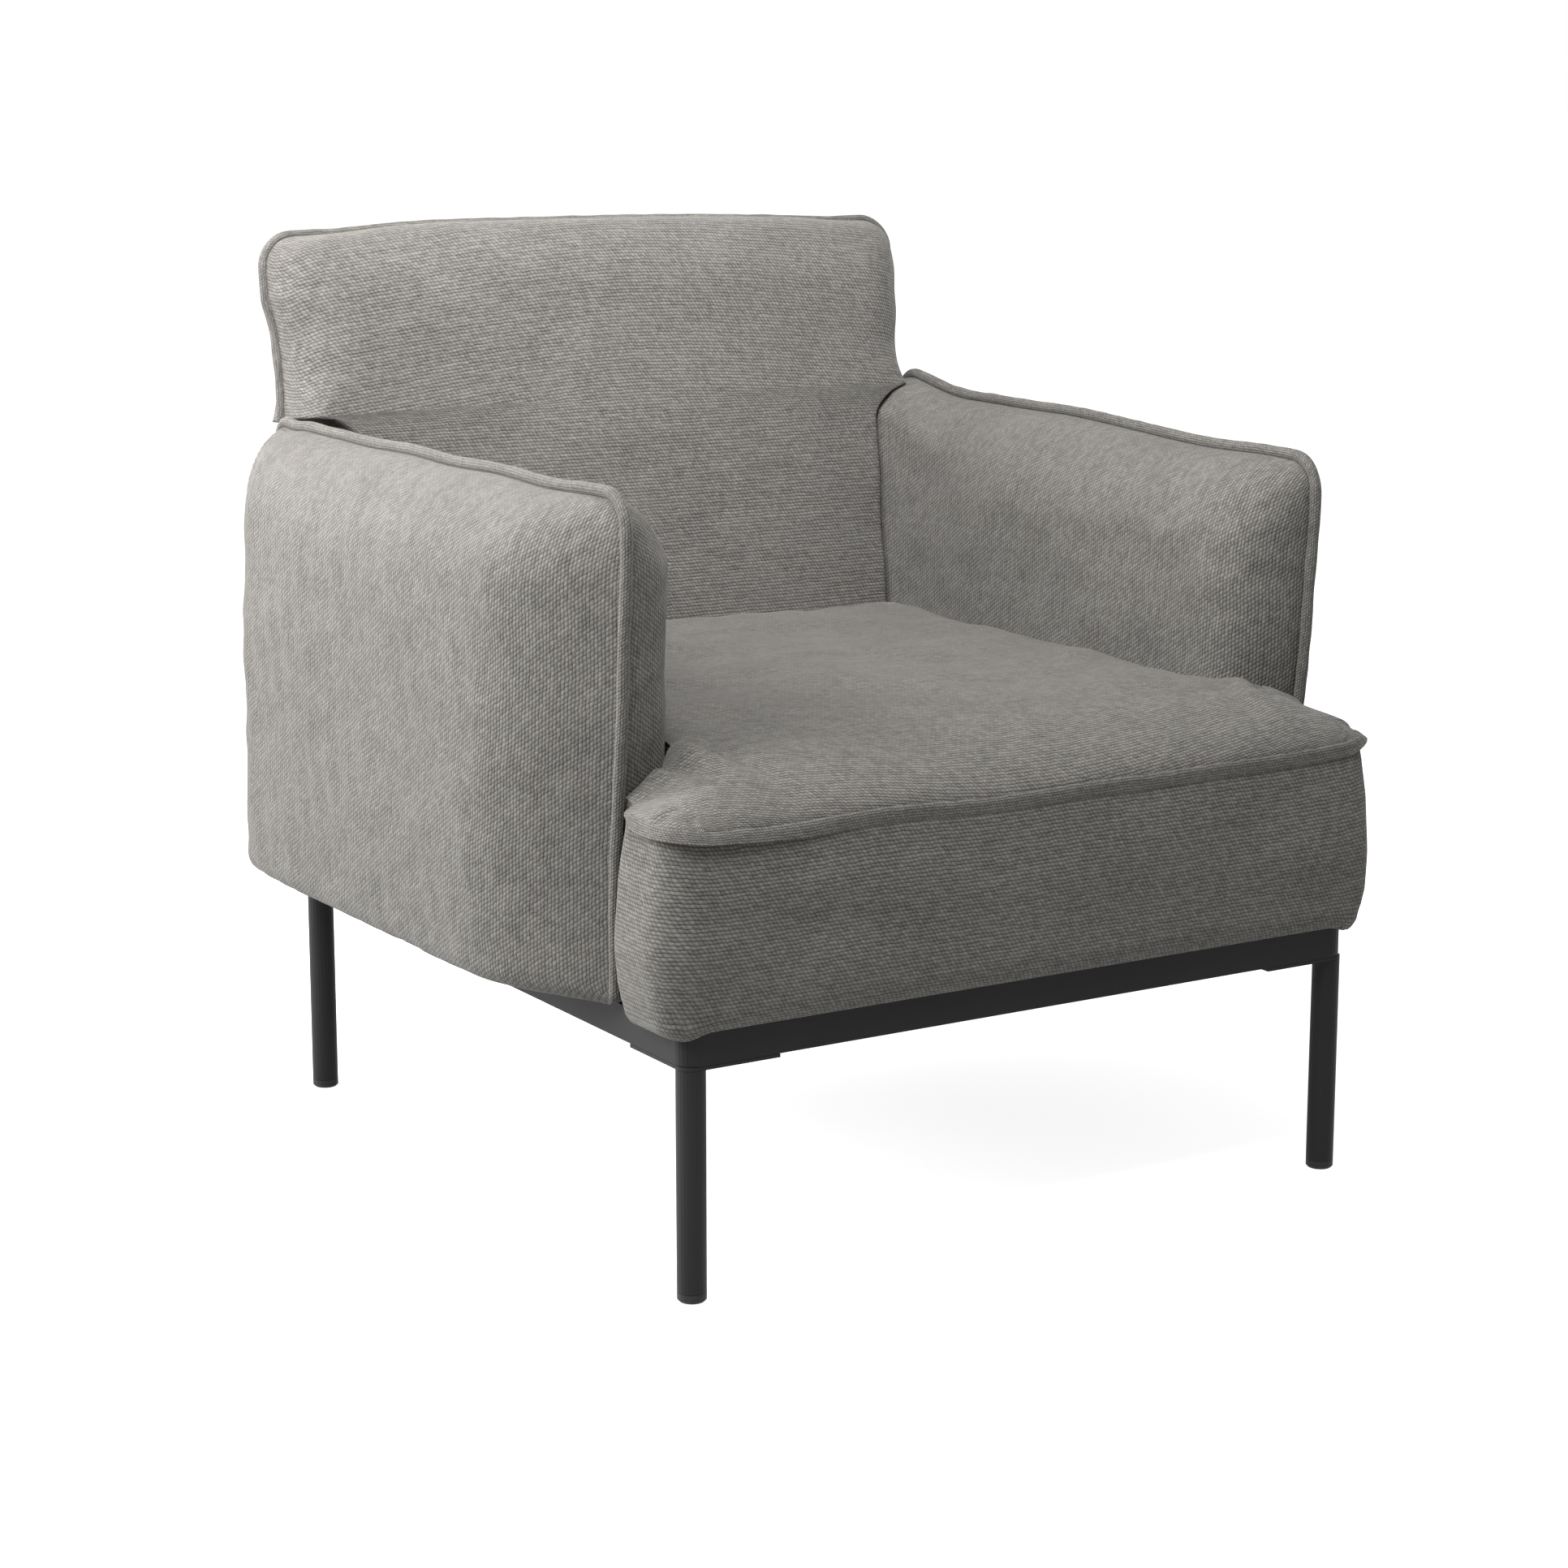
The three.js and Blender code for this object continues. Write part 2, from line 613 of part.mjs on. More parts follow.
function backPiping() {
  const offset = BACK_PIPING_RADIUS + GAP;
  const side = backHalf + offset;
  const top = BACK_HEIGHT + offset;
  const radius = BACK_CORNER + offset;
  const clearOfArm = ARM_TOP + 2 * ARM_PIPING_RADIUS + 3;
  const start = (clearOfArm - softBottom) / Math.cos(BACK_TILT);
  const points = [[side, start]];
  for (const [u, quarter] of [[side - radius, 0], [-side + radius, 1]]) {
    for (let step = 0; step <= 5; step += 1) {
      const angle = (quarter + step / 5) * Math.PI / 2;
      points.push([u + radius * Math.cos(angle), top - radius + radius * Math.sin(angle)]);
    }
    if (quarter === 0) {
      points.push([0, top + BACK_BOW]);
    }
  }
  points.push([-side, start]);
  const path = points.map(([u, v]) => onBack(u, v, 0));
  const normal = onBack(0, 0, 1).sub(onBack(0, 0, 0));
  return cordAlong(path, normal, BACK_PIPING_RADIUS);
}

function addBackFrame() {
  const railBottom = 6;
  const railTop = railBottom + BACK_RAIL_LOW;
  const half = BACK_TIMBER_HALF;
  const outer = lowerHalf - 4;
  const lowRail = boxBetween([-outer, -half, railBottom], [outer, half, railTop]);
  addPart('back_bottom_rail', tiltBack(lowRail), timber());
  for (const [name, side] of [['left', -1], ['right', 1]]) {
    const edges = [side * outer, side * (outer - BACK_POST_WIDTH)];
    const low = [Math.min(...edges), -half, railTop + GAP];
    const high = [Math.max(...edges), half, BACK_TOP_RAIL_Z - GAP];
    addPart(`back_post_${name}`, tiltBack(boxBetween(low, high)), timber());
  }
  const topHalf = backHalf - COVER - 40;
  const topHigh = [topHalf, half, BACK_TOP_RAIL_Z + BACK_RAIL_TOP];
  const topRail = boxBetween([-topHalf, -half, BACK_TOP_RAIL_Z], topHigh);
  addPart('back_top_rail', tiltBack(topRail), timber());
}

function addBrackets() {
  for (const [name, side] of [['left', -1], ['right', 1]]) {
    const x = side * (lowerHalf - 100);
    const front = BACK_TIMBER_HALF + GAP;
    const low = [x - BRACKET_WIDTH / 2, front, (front + BRACKET_THICKNESS) * Math.tan(BACK_TILT) + GAP];
    const high = [x + BRACKET_WIDTH / 2, front + BRACKET_THICKNESS, BRACKET_HEIGHT];
    addPart(`back_bracket_${name}`, tiltBack(boxBetween(low, high)), steel());
  }
}

function addBack() {
  addPart('back_cover', geometryOf(backCover()), fabric());
  addPart('back_piping', backPiping(), fabric());
  addPart('back_foam_front', geometryOf(backFoam(-1, 12)), foam());
  addPart('back_foam_rear', geometryOf(backFoam(1, BRACKET_HEIGHT + 3)), foam());
  addBackFrame();
  addBrackets();
}

// ---- Seat ----
function seatRing(grow, z, perCorner) {
  const edges = {
    left: -seatX - grow,
    right: seatX + grow,
    bottom: seatFront - grow,
    top: backBaseY + grow,
  };
  const radius = Math.max(SEAT_CORNER + grow, 4);
  return roundedOutline(edges, radius, perCorner).map(([x, y]) => new THREE.Vector3(x, y, z));
}

function seatBlock(skin, perCorner) {
  const floor = softBottom + (skin > 0 ? FABRIC : 0);
  const rings = [
    seatRing(-SEAT_UNDER_ROUND - skin, floor, perCorner),
    seatRing(-skin, floor + SEAT_UNDER_ROUND, perCorner),
    seatRing(SEAT_BULGE - skin, (softBottom + SEAT_FLANGE_Z) / 2, perCorner),
    seatRing(-skin, SEAT_FLANGE_Z - skin, perCorner),
  ];
  for (const share of [0.04, 0.15, 0.35, 0.65, 1]) {
    const rise = SEAT_CROWN * Math.sqrt(1 - (1 - share) ** 2);
    rings.push(seatRing(-skin - share * SEAT_CROWN_RUN, SEAT_FLANGE_Z - skin + rise, perCorner));
  }
  const middle = (seatFront + backBaseY) / 2;
  const lowPole = new THREE.Vector3(0, middle, floor);
  const highPole = new THREE.Vector3(0, middle, SEAT_FLANGE_Z - skin + SEAT_CROWN + 2);
  return solid(loft(rings, lowPole, highPole));
}

function seatForm(skin, perCorner) {
  let form = seatBlock(skin, perCorner);
  if (skin === 0) {
    const half = SEAT_FLANGE_THICKNESS / 2;
    const low = seatRing(SEAT_FLANGE_REACH, SEAT_FLANGE_Z - half, perCorner);
    const high = seatRing(SEAT_FLANGE_REACH, SEAT_FLANGE_Z + half, perCorner);
    const middle = new THREE.Vector3(0, (seatFront + backBaseY) / 2, SEAT_FLANGE_Z);
    const below = middle.clone().setZ(SEAT_FLANGE_Z - half);
    const above = middle.clone().setZ(SEAT_FLANGE_Z + half);
    form = form.add(solid(loft([low, high], below, above)));
  }
  const notch = geometryOf(armInPlan(skin));
  const behind = backPillow(SOFT_GAP + skin, OUTSIDE_STEPS);
  return form.subtract(solid(notch)).subtract(solid(mirrorX(notch))).subtract(behind);
}

const seatOpening = {
  x: lowerHalf - BOARD + 10,
  front: seatFront + COVER + BOARD,
  rear: backBaseY - BACK_FRONT - BOARD - 40,
};

function seatCover() {
  const low = [-seatOpening.x, seatOpening.front, -FAR];
  const high = [seatOpening.x, seatOpening.rear, softBottom + FABRIC + 1];
  const opening = solid(boxBetween(low, high));
  return seatForm(0, OUTSIDE_STEPS).subtract(seatForm(COVER, INSIDE_STEPS)).subtract(opening);
}

function addSeatFrame() {
  const wingHalf = seatX - COVER - SEAT_UNDER_ROUND - 6;
  const front = seatFront + COVER + SEAT_UNDER_ROUND + 4;
  const frontEnd = front + BOARD;
  const rear = backBaseY - BACK_FRONT - BACK_CROWN - COVER - 16;
  const boards = [
    ['seat_frame_front', [-wingHalf, front], [wingHalf, frontEnd]],
    ['seat_frame_left', [-lowerHalf, frontEnd + GAP], [-lowerHalf + BOARD, rear]],
    ['seat_frame_right', [lowerHalf - BOARD, frontEnd + GAP], [lowerHalf, rear]],
    ['seat_frame_rear', [-lowerHalf + BOARD + GAP, rear - BOARD], [lowerHalf - BOARD - GAP, rear]],
  ];
  for (const [name, low, high] of boards) {
    addPart(name, boxBetween([...low, timberBottom], [...high, seatTimberTop]), timber());
  }
  const straps = 3;
  const pitch = (rear - frontEnd) / straps;
  for (let strap = 0; strap < straps; strap += 1) {
    const y = frontEnd + (strap + 0.5) * pitch;
    const low = [-lowerHalf + 5, y - WEBBING_WIDTH / 2, seatTimberTop + GAP];
    const high = [lowerHalf - 5, y + WEBBING_WIDTH / 2, seatTimberTop + GAP + WEBBING_THICKNESS];
    addPart(`seat_webbing_${strap + 1}`, boxBetween(low, high), webbing());
  }
}

function addSeat() {
  addPart('seat_cover', geometryOf(seatCover()), fabric());
  const foamBottom = seatTimberTop + WEBBING_THICKNESS + 2 * GAP;
  const above = solid(boxBetween([-FAR, -FAR, foamBottom], [FAR, FAR, FAR]));
  addPart('seat_foam', geometryOf(seatForm(COVER + GAP, INSIDE_STEPS).intersect(above)), foam());
  addSeatFrame();
  const low = [-seatOpening.x + GAP, seatOpening.front + GAP, softBottom];
  const high = [seatOpening.x - GAP, seatOpening.rear - GAP, softBottom + DUST_COVER];
  addPart('dust_cover', boxBetween(low, high), webbing());
}

addRing();
addLegs();
addArms();
addBack();
addSeat();

// The origin goes under the middle of the chair's whole depth.
const bounds = new THREE.Box3().setFromObject(chair);
chair.position.y = -(bounds.min.y + bounds.max.y) / 2;

export default chair;
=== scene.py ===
import math

import bpy
import numpy as np
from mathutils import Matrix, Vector


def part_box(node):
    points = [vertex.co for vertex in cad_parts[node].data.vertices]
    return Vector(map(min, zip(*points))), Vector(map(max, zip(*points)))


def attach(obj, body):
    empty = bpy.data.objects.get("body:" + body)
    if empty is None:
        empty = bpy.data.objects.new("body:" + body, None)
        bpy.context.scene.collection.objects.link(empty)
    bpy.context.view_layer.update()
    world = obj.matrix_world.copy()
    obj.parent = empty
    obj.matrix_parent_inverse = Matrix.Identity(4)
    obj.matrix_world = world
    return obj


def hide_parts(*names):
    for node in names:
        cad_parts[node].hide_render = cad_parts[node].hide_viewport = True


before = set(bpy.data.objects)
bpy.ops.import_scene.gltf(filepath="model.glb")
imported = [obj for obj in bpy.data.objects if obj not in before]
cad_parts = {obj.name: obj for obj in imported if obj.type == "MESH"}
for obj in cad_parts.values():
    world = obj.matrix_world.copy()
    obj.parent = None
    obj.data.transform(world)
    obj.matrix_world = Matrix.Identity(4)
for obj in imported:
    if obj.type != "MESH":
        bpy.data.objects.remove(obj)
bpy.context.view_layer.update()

scene = bpy.context.scene

# ---- Places read from the frame ----
GAP = 0.0003                # air between pieces that rest on each other
FABRIC_GAP = 0.0008         # air between soft faces that lie together
arm_pipe_low, arm_pipe_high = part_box("right_arm_piping")
ARM_PIPE = (arm_pipe_high.x - arm_pipe_low.x) / 2
ARM_X = (arm_pipe_high.x + arm_pipe_low.x) / 2
ARM_FRONT = arm_pipe_low.y + 2 * ARM_PIPE + GAP
ARM_REAR = arm_pipe_high.y - 2 * ARM_PIPE - GAP
ARM_TOP = arm_pipe_high.z - 2 * ARM_PIPE - GAP
FLOOR_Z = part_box("right_arm_cover")[0].z        # where the cushions start, above the base
ARM_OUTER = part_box("right_arm_cover")[1].x - ARM_X
ARM_INNER = ARM_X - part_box("right_arm_cover")[0].x
SEAT_LIP = 0.005            # how far the seat's lip stands out from its seam in the frame
SEAT_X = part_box("seat_cover")[1].x - SEAT_LIP
SEAT_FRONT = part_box("seat_cover")[0].y + SEAT_LIP
RAIL_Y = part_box("rear_rail")[1].y
RAIL_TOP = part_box("rear_rail")[1].z
HALF_LEG_SPACING = 0.360    # front to rear, from a leg's centre to the middle of the chair
MID_Y = (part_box("leg_1")[0].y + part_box("leg_1")[1].y) / 2 + HALF_LEG_SPACING

# ---- Shapes that only the upholstery has ----
ARM_CORNER = 0.026          # radius of the seam's top corners
ARM_FOOT_CORNER = 0.010     # and of its bottom corners
ARM_EDGE = 0.070            # how far in from the front seam the inner panel keeps curving
ARM_LENS = 0.130            # the same for the outer panel, which leaves the seam slowly
ARM_REAR_EDGE = 0.014       # the same for the inner panel's rear, pressed flat by the back
ARM_TOP_CURVE = 0.085       # how far down the inner panel keeps curving
ARM_TOP_PRESSED = 0.050     # how much of that curve the back takes away
ARM_OUTER_TOP = 0.084       # how far down the outer panel keeps curving
ARM_SQUEEZE = 0.012         # how far the back presses the inner panel in
ARM_UNDER = 0.032           # how far up from its bottom an arm keeps curving
ARM_CROWN = 0.005           # the panels' slow swell towards their middle
ARM_BELLY = 0.08            # how much fuller the outer panel is near its foot
ARM_PIPE_FULL = 1.18        # how much fatter the piping is than the frame's
ARM_PIPE_OUT = 0.85         # how far it stands out from the seam, in its own radii
BACK_TILT = math.radians(7.5)
BACK_INSET = 0.048          # rear rail's rear face to the back's seam plane, at the rail's top
BACK_HEIGHT = 0.600
BACK_HALF = 0.351
BACK_FRONT = 0.053
BACK_REAR = 0.045
BACK_CROWN = 0.005
BACK_REAR_CROWN = 0.004
BACK_EDGE = 0.060           # how far in from its side seam the free part of the back keeps curving
BACK_TUCK = 0.009           # the same where the back is squeezed between the arms
BACK_FOOT = 0.030           # the same at its bottom
BACK_PRESS = 0.0035         # how far the back's sides go past the arms' full reach, to touch them
BACK_CORNER = 0.030
BACK_PIPE = 0.004
SEAT_SEAM_Z = 0.399
SEAT_REAR_Z = 0.442         # height of the seat's top where the back comes down to it
SEAT_CROWN = 0.050
SEAT_DOME = 0.006
SEAT_RUN = 0.150            # how far back from the front seam the seat's top keeps rising
SEAT_SIDE_RUN = 0.100       # the same from a side seam
SEAT_CORNER = 0.030
WING_CORNER = 0.008         # radius where a wing's side turns in behind itself
SEAT_ARM_LEAN = 0.006       # how far back the arm's front seam stands at the height of the seat
FOAM_INSET = 0.0115         # from an arm's or the back's cover to the foam inside it
ARM_FOAM_SETBACK = 0.022    # how much further back an arm's foam starts
ARM_FOAM_FOOT = 2.4         # how far above the cover's bottom the foam starts, in insets
BACK_FOAM_FOOT = 2          # the same for the back
THINNEST_FOAM = 0.001
SEAT_FOAM_INSET = 0.0125
STEP = 0.005                # mesh cell
CORD_STEP = 0.004           # length of a cell along the piping and the lip


# ---- Curves ----
def rise(distance, reach, power=2.0):
    """A quarter of a superellipse, from 0 at the seam to 1 at the reach."""
    share = np.clip(distance / reach, 0, 1)
    return (1 - (1 - share) ** power) ** (1 / power)


def lens(distance, reach):
    """A quarter of a sine wave, from 0 at the seam to 1 at the reach."""
    return np.sin(np.clip(distance / reach, 0, 1) * math.pi / 2)


def smooth(value, low, high):
    """0 below low, 1 above high and an easy curve between them."""
    share = np.clip((value - low) / (high - low), 0, 1)
    return share * share * (3 - 2 * share)


def bell(value, middle, width):
    """A rounded hump, 1 at its middle."""
    return np.exp(-((value - middle) / width) ** 2)


def ripple(a, b, size, seed):
    """Smooth repeatable unevenness, about -1 to 1, in waves of about the size given."""
    draw = np.random.default_rng(seed)
    waves = 6
    total = 0
    for _ in range(waves):
        angle = draw.uniform(0, math.pi)
        length = size * draw.uniform(0.7, 1.7)
        phase = draw.uniform(0, 2 * math.pi)
        along = a * math.cos(angle) + b * math.sin(angle)
        total = total + np.sin(along * 2 * math.pi / length + phase)
    return total / math.sqrt(waves)


def run_along(points):
    """How far along a row of points each one lies."""
    return np.concatenate([[0], np.cumsum(np.linalg.norm(np.diff(points, axis=0), axis=1))])


def stations(length, low_reach, high_reach):
    """Places along an edge, closer together where the panel turns down to its seam."""
    def zone(reach):
        steps = max(6, round(reach * math.pi / 2 / STEP))
        angles = np.linspace(0, math.pi / 2, steps + 1)
        return reach * (1 - np.cos(angles))
    low = zone(low_reach)
    high = length - zone(high_reach)[::-1]
    steps = max(2, round((length - low_reach - high_reach) / STEP))
    middle = np.linspace(low[-1], high[0], steps + 1)
    return np.concatenate([low[:-1], middle, high[1:]])


def rounded(height, top, radius):
    """How far a corner of this radius pulls a row in."""
    over = np.clip(height - (top - radius), 0, radius)
    return radius - np.sqrt(radius ** 2 - over ** 2)


# ---- Meshes ----
def grid_cells(rows, columns):
    """The corners of each cell of a grid of points."""
    first = (np.arange(rows - 1)[:, None] * columns + np.arange(columns - 1)).ravel()
    return np.stack([first, first + 1, first + columns + 1, first + columns], axis=1)


def cloth_uv(points):
    """Where each grid point lies on the flat cloth, in metres from the panel's middle."""
    def along(axis):
        gaps = np.linalg.norm(np.diff(points, axis=axis), axis=2)
        total = np.cumsum(gaps, axis=axis)
        total = np.concatenate([np.zeros_like(np.take(total, [0], axis)), total], axis=axis)
        return total - np.take(total, [points.shape[axis] // 2], axis)
    return np.stack([along(1), along(0)], axis=2)


def volume(points, faces):
    """A number that is negative where a closed skin of quads is inside out."""
    a, b, c, d = (points[faces[:, k]] for k in range(4))
    return (np.einsum("ij,ij->i", a, np.cross(b, c)) + np.einsum("ij,ij->i", a, np.cross(c, d))).sum()


def make(name, points, faces, uvs, material):
    """A mesh object of quads. Each face corner has its own place on the cloth."""
    if volume(points, faces) < 0:
        faces, uvs = faces[:, ::-1], uvs[:, ::-1]
    mesh = bpy.data.meshes.new(name)
    mesh.from_pydata(points.tolist(), [], faces.tolist())
    layer = mesh.uv_layers.new(name="weave")
    layer.data.foreach_set("uv", np.ascontiguousarray(uvs).astype(np.float32).ravel())
    mesh.polygons.foreach_set("use_smooth", np.ones(len(faces), dtype=bool))
    mesh.materials.append(material)
    mesh.update()
    piece = bpy.data.objects.new(name, mesh)
    scene.collection.objects.link(piece)
    return piece


def border(rows, columns):
    """The numbers of a grid's outer points, once round."""
    grid = np.arange(rows * columns).reshape(rows, columns)
    return np.concatenate([grid[0, :-1], grid[:-1, -1], grid[-1, :0:-1], grid[:0:-1, 0]])


def pillow(name, near, far, material):
    """Two panels sewn together round their edge."""
    rows, columns = near.shape[:2]
    count = rows * columns
    cells = grid_cells(rows, columns)
    edge = np.zeros(count, dtype=bool)
    edge[border(rows, columns)] = True
    number = np.arange(count)
    number[~edge] = count + np.arange((~edge).sum())
    points = np.concatenate([near.reshape(-1, 3), far.reshape(-1, 3)[~edge]])
    faces = np.concatenate([cells, number[cells][:, ::-1]])
    near_uv = cloth_uv(near).reshape(-1, 2)[cells]
    far_uv = cloth_uv(far).reshape(-1, 2)[cells][:, ::-1]
    return make(name, points, faces, np.concatenate([near_uv, far_uv]), material)


def slab(name, near, far, material):
    """Two panels with a wall between their edges."""
    rows, columns = near.shape[:2]
    count = rows * columns
    cells = grid_cells(rows, columns)
    ring = border(rows, columns)
    after = np.roll(ring, -1)
    walls = np.stack([after, ring, ring + count, after + count], axis=1)
    points = np.concatenate([near.reshape(-1, 3), far.reshape(-1, 3)])
    faces = np.concatenate([cells, (cells + count)[:, ::-1], walls])
    flat = np.concatenate([cloth_uv(near).reshape(-1, 2), cloth_uv(far).reshape(-1, 2)])
    return make(name, points, faces, flat[faces], material)


def corner_uvs(*corners):
    """Places on the cloth for a row of quads, from where each of their corners lies."""
    return np.stack([np.stack(np.broadcast_arrays(*corner), 1) for corner in corners], axis=1)


def ring_mesh(name, rings, places, material):
    """A closed skin over a row of rings, capped at both ends."""
    steps, sides = rings.shape[:2]
    around = np.arange(sides)
    beside = (around + 1) % sides
    middle = rings[steps // 2]
    girth = run_along(np.concatenate([middle, middle[:1]]))
    faces, uvs = [], []
    for k in range(steps - 1):
        near, far = k * sides, (k + 1) * sides
        faces.append(np.stack([near + around, near + beside, far + beside, far + around], axis=1))
        low, high = places[k], places[k + 1]
        uvs.append(corner_uvs((low, girth[:-1]), (low, girth[1:]), (high, girth[1:]), (high, girth[:-1])))
    for k, order in ((0, -1), (steps - 1, 1)):
        ring = k * sides + around
        cap = np.array([[ring[i], ring[i + 1], ring[sides - 2 - i], ring[sides - 1 - i]]
                        for i in range(sides // 2 - 1)])[:, ::order]
        faces.append(cap)
        uvs.append(np.zeros((len(cap), 4, 2)))
    return make(name, rings.reshape(-1, 3), np.concatenate(faces), np.concatenate(uvs), material)


def cord(name, path, radii, axis, material):
    """A round cord along a path. The axis is square to the path's plane, at each of its points."""
    tangent = np.gradient(path, axis=0)
    tangent /= np.linalg.norm(tangent, axis=1)[:, None]
    rings = []
    for k in range(len(path)):
        side = np.cross(tangent[k], axis[k])
        side /= np.linalg.norm(side)
        up = np.cross(side, tangent[k])
        outline = circle(radii[k])
        rings.append(path[k] + outline[:, :1] * side + outline[:, 1:] * up)
    return ring_mesh(name, np.array(rings), run_along(path), material)


def circle(radius, sides=14):
    """Points round a circle."""
    angles = (np.arange(sides) + 0.5) * 2 * math.pi / sides
    return radius * np.stack([np.cos(angles), np.sin(angles)], axis=1)


# ---- Materials ----
def node(tree, kind, inputs=None, **settings):
    """A new shader node. Each input is a value or another node's output."""
    made = tree.nodes.new(kind)
    for key, value in settings.items():
        setattr(made, key, value)
    for key, value in (inputs or {}).items():
        if isinstance(value, bpy.types.NodeSocket):
            tree.links.new(value, made.inputs[key])
        else:
            made.inputs[key].default_value = value
    return made


def maths(tree, operation, first, second=0.0, third=0.0):
    return node(tree, "ShaderNodeMath", {0: first, 1: second, 2: third}, operation=operation).outputs[0]


def mixed(tree, share, first, second):
    made = node(tree, "ShaderNodeMix", {"Factor": share, 6: first, 7: second}, data_type="RGBA")
    return made.outputs[2]


def shade(tree, low, high, share):
    """From low to high as the share goes from 0 to 1."""
    made = node(tree, "ShaderNodeMapRange", {0: share, 1: 0.0, 2: 1.0, 3: low, 4: high})
    return made.outputs[0]


def start(name, **constants):
    """A new material. The constants are set on the shader's own sockets."""
    material = bpy.data.materials.new(name)
    material.use_nodes = True
    tree = material.node_tree
    shader = tree.nodes["Principled BSDF"]
    for key, value in constants.items():
        shader.inputs[key.replace("_", " ")].default_value = value
    return material, tree, shader


def grain(tree, scale, detail=2.0, coordinate=None, roughness=0.5):
    """Soft noise, on the object's own coordinates unless others are given."""
    if coordinate is None:
        coordinate = node(tree, "ShaderNodeTexCoord").outputs["Object"]
    made = node(tree, "ShaderNodeTexNoise",
                {"Vector": coordinate, "Scale": scale, "Detail": detail, "Roughness": roughness})
    return made.outputs["Fac"]


def bumped(tree, shader, height, distance, strength=1.0):
    made = node(tree, "ShaderNodeBump", {"Height": height, "Distance": distance, "Strength": strength})
    tree.links.new(made.outputs["Normal"], shader.inputs["Normal"])


# The weave's gaps between threads are darkened towards this first colour as painted shade; the threads' tops
# take the second.
WEAVE_SHADE = (0.0080, 0.0075, 0.0067)         # deep in the weave, linear
WARM_LIGHT = (0.0840, 0.0802, 0.0745)        # at the tips of the fibres
ROW_PITCH = 0.0033          # from one row of stitches to the next
STITCH_PITCH = 0.0042       # from one stitch to the next along a row
STITCH_SLANT = 0.45         # how far a stitch leans across its row, in stitches
DRIFT = 0.0022              # how far the rows wander


def wandering(tree, cloth):
    """The place on the cloth, across and along, moved a little so that no row is quite straight."""
    drift = node(tree, "ShaderNodeTexNoise", {"Vector": cloth, "Scale": 120.0, "Detail": 1.0})
    moved = node(tree, "ShaderNodeVectorMath", {0: drift.outputs["Color"], 1: (0.5, 0.5, 0.5)},
                 operation="SUBTRACT").outputs[0]
    moved = node(tree, "ShaderNodeVectorMath", {0: moved, "Scale": DRIFT}, operation="SCALE").outputs[0]
    moved = node(tree, "ShaderNodeVectorMath", {0: moved, 1: cloth}, operation="ADD").outputs[0]
    split = node(tree, "ShaderNodeSeparateXYZ", {0: moved})
    return split.outputs[0], split.outputs[1]


def threads(tree, place, power):
    """Round-topped threads, one to each whole step of the place."""
    wave = maths(tree, "SINE", maths(tree, "MULTIPLY", place, math.pi))
    return maths(tree, "POWER", maths(tree, "ABSOLUTE", wave), power)


def fabric(name, upright=False, pitch=1.0, tone=1.0):
    """Chenille in slanting stitches laid in rows, with a nap that lies unevenly and painted shade between
    its threads.
    """
    material, tree, shader = start(
        name, Roughness=0.88, Sheen_Weight=0.06, Sheen_Roughness=0.40,
        Sheen_Tint=(0.86, 0.84, 0.80, 1), Specular_IOR_Level=0.08)
    cloth = node(tree, "ShaderNodeUVMap", uv_map="weave").outputs["UV"]
    across, along = wandering(tree, cloth)
    if upright:
        across, along = along, across
    row = maths(tree, "DIVIDE", along, ROW_PITCH * pitch)
    half_step = maths(tree, "MULTIPLY", maths(tree, "FLOOR", row), 0.5)
    slant = maths(tree, "MULTIPLY", maths(tree, "FRACT", row), STITCH_SLANT)
    column = maths(tree, "DIVIDE", across, STITCH_PITCH * pitch)
    column = maths(tree, "ADD", maths(tree, "ADD", column, half_step), slant)
    stitches = shade(tree, 0.35, 1.0, threads(tree, column, 0.8))
    weave = maths(tree, "MULTIPLY", threads(tree, row, 0.6), stitches)

    stitch = node(tree, "ShaderNodeCombineXYZ",
                  {0: maths(tree, "FLOOR", column), 1: maths(tree, "FLOOR", row)}).outputs[0]
    own_tone = node(tree, "ShaderNodeTexWhiteNoise", {"Vector": stitch}, noise_dimensions="2D").outputs[0]
    fibre = grain(tree, 900.0, 3.0)
    nap = grain(tree, 16.0, 3.0, roughness=0.6)
    stretch = (260, 14, 1) if upright else (14, 260, 1)
    stretched = node(tree, "ShaderNodeMapping", {"Vector": cloth, "Scale": stretch}).outputs[0]
    streak = grain(tree, 1.0, 2.0, stretched)
    slub = grain(tree, 210.0, 2.0)
    # The share is least between the threads, which is painted shade in the weave; the other terms are the
    # yarn's own uneven tone.
    share = maths(tree, "MULTIPLY_ADD", weave, 0.56, maths(tree, "MULTIPLY", fibre, 0.50))
    for amount, source in ((0.11, own_tone), (0.08, nap), (0.12, streak), (0.09, slub)):
        share = maths(tree, "ADD", share, shade(tree, -amount, amount, source))
    share = maths(tree, "SUBTRACT", share, 0.12)
    dark, light = (tuple(part * tone for part in colour) + (1,) for colour in (WEAVE_SHADE, WARM_LIGHT))
    tree.links.new(mixed(tree, share, dark, light), shader.inputs["Base Color"])
    height = maths(tree, "MULTIPLY_ADD", fibre, 0.35, weave)
    bumped(tree, shader, height, 0.0007, 0.8)
    return material


def coated_steel():
    """Fine-textured black powder coat, a little duller where dust and hands have been."""
    material, tree, shader = start("coated_steel", Metallic=0.0, Specular_IOR_Level=0.07)
    wear = grain(tree, 9.0, 4.0)
    peel = grain(tree, 1400.0, 2.0)
    tree.links.new(mixed(tree, wear, (0.0045, 0.0045, 0.0050, 1), (0.0085, 0.0085, 0.0090, 1)),
                   shader.inputs["Base Color"])
    tree.links.new(shade(tree, 0.42, 0.56, wear), shader.inputs["Roughness"])
    bumped(tree, shader, peel, 0.00008, 0.5)
    return material


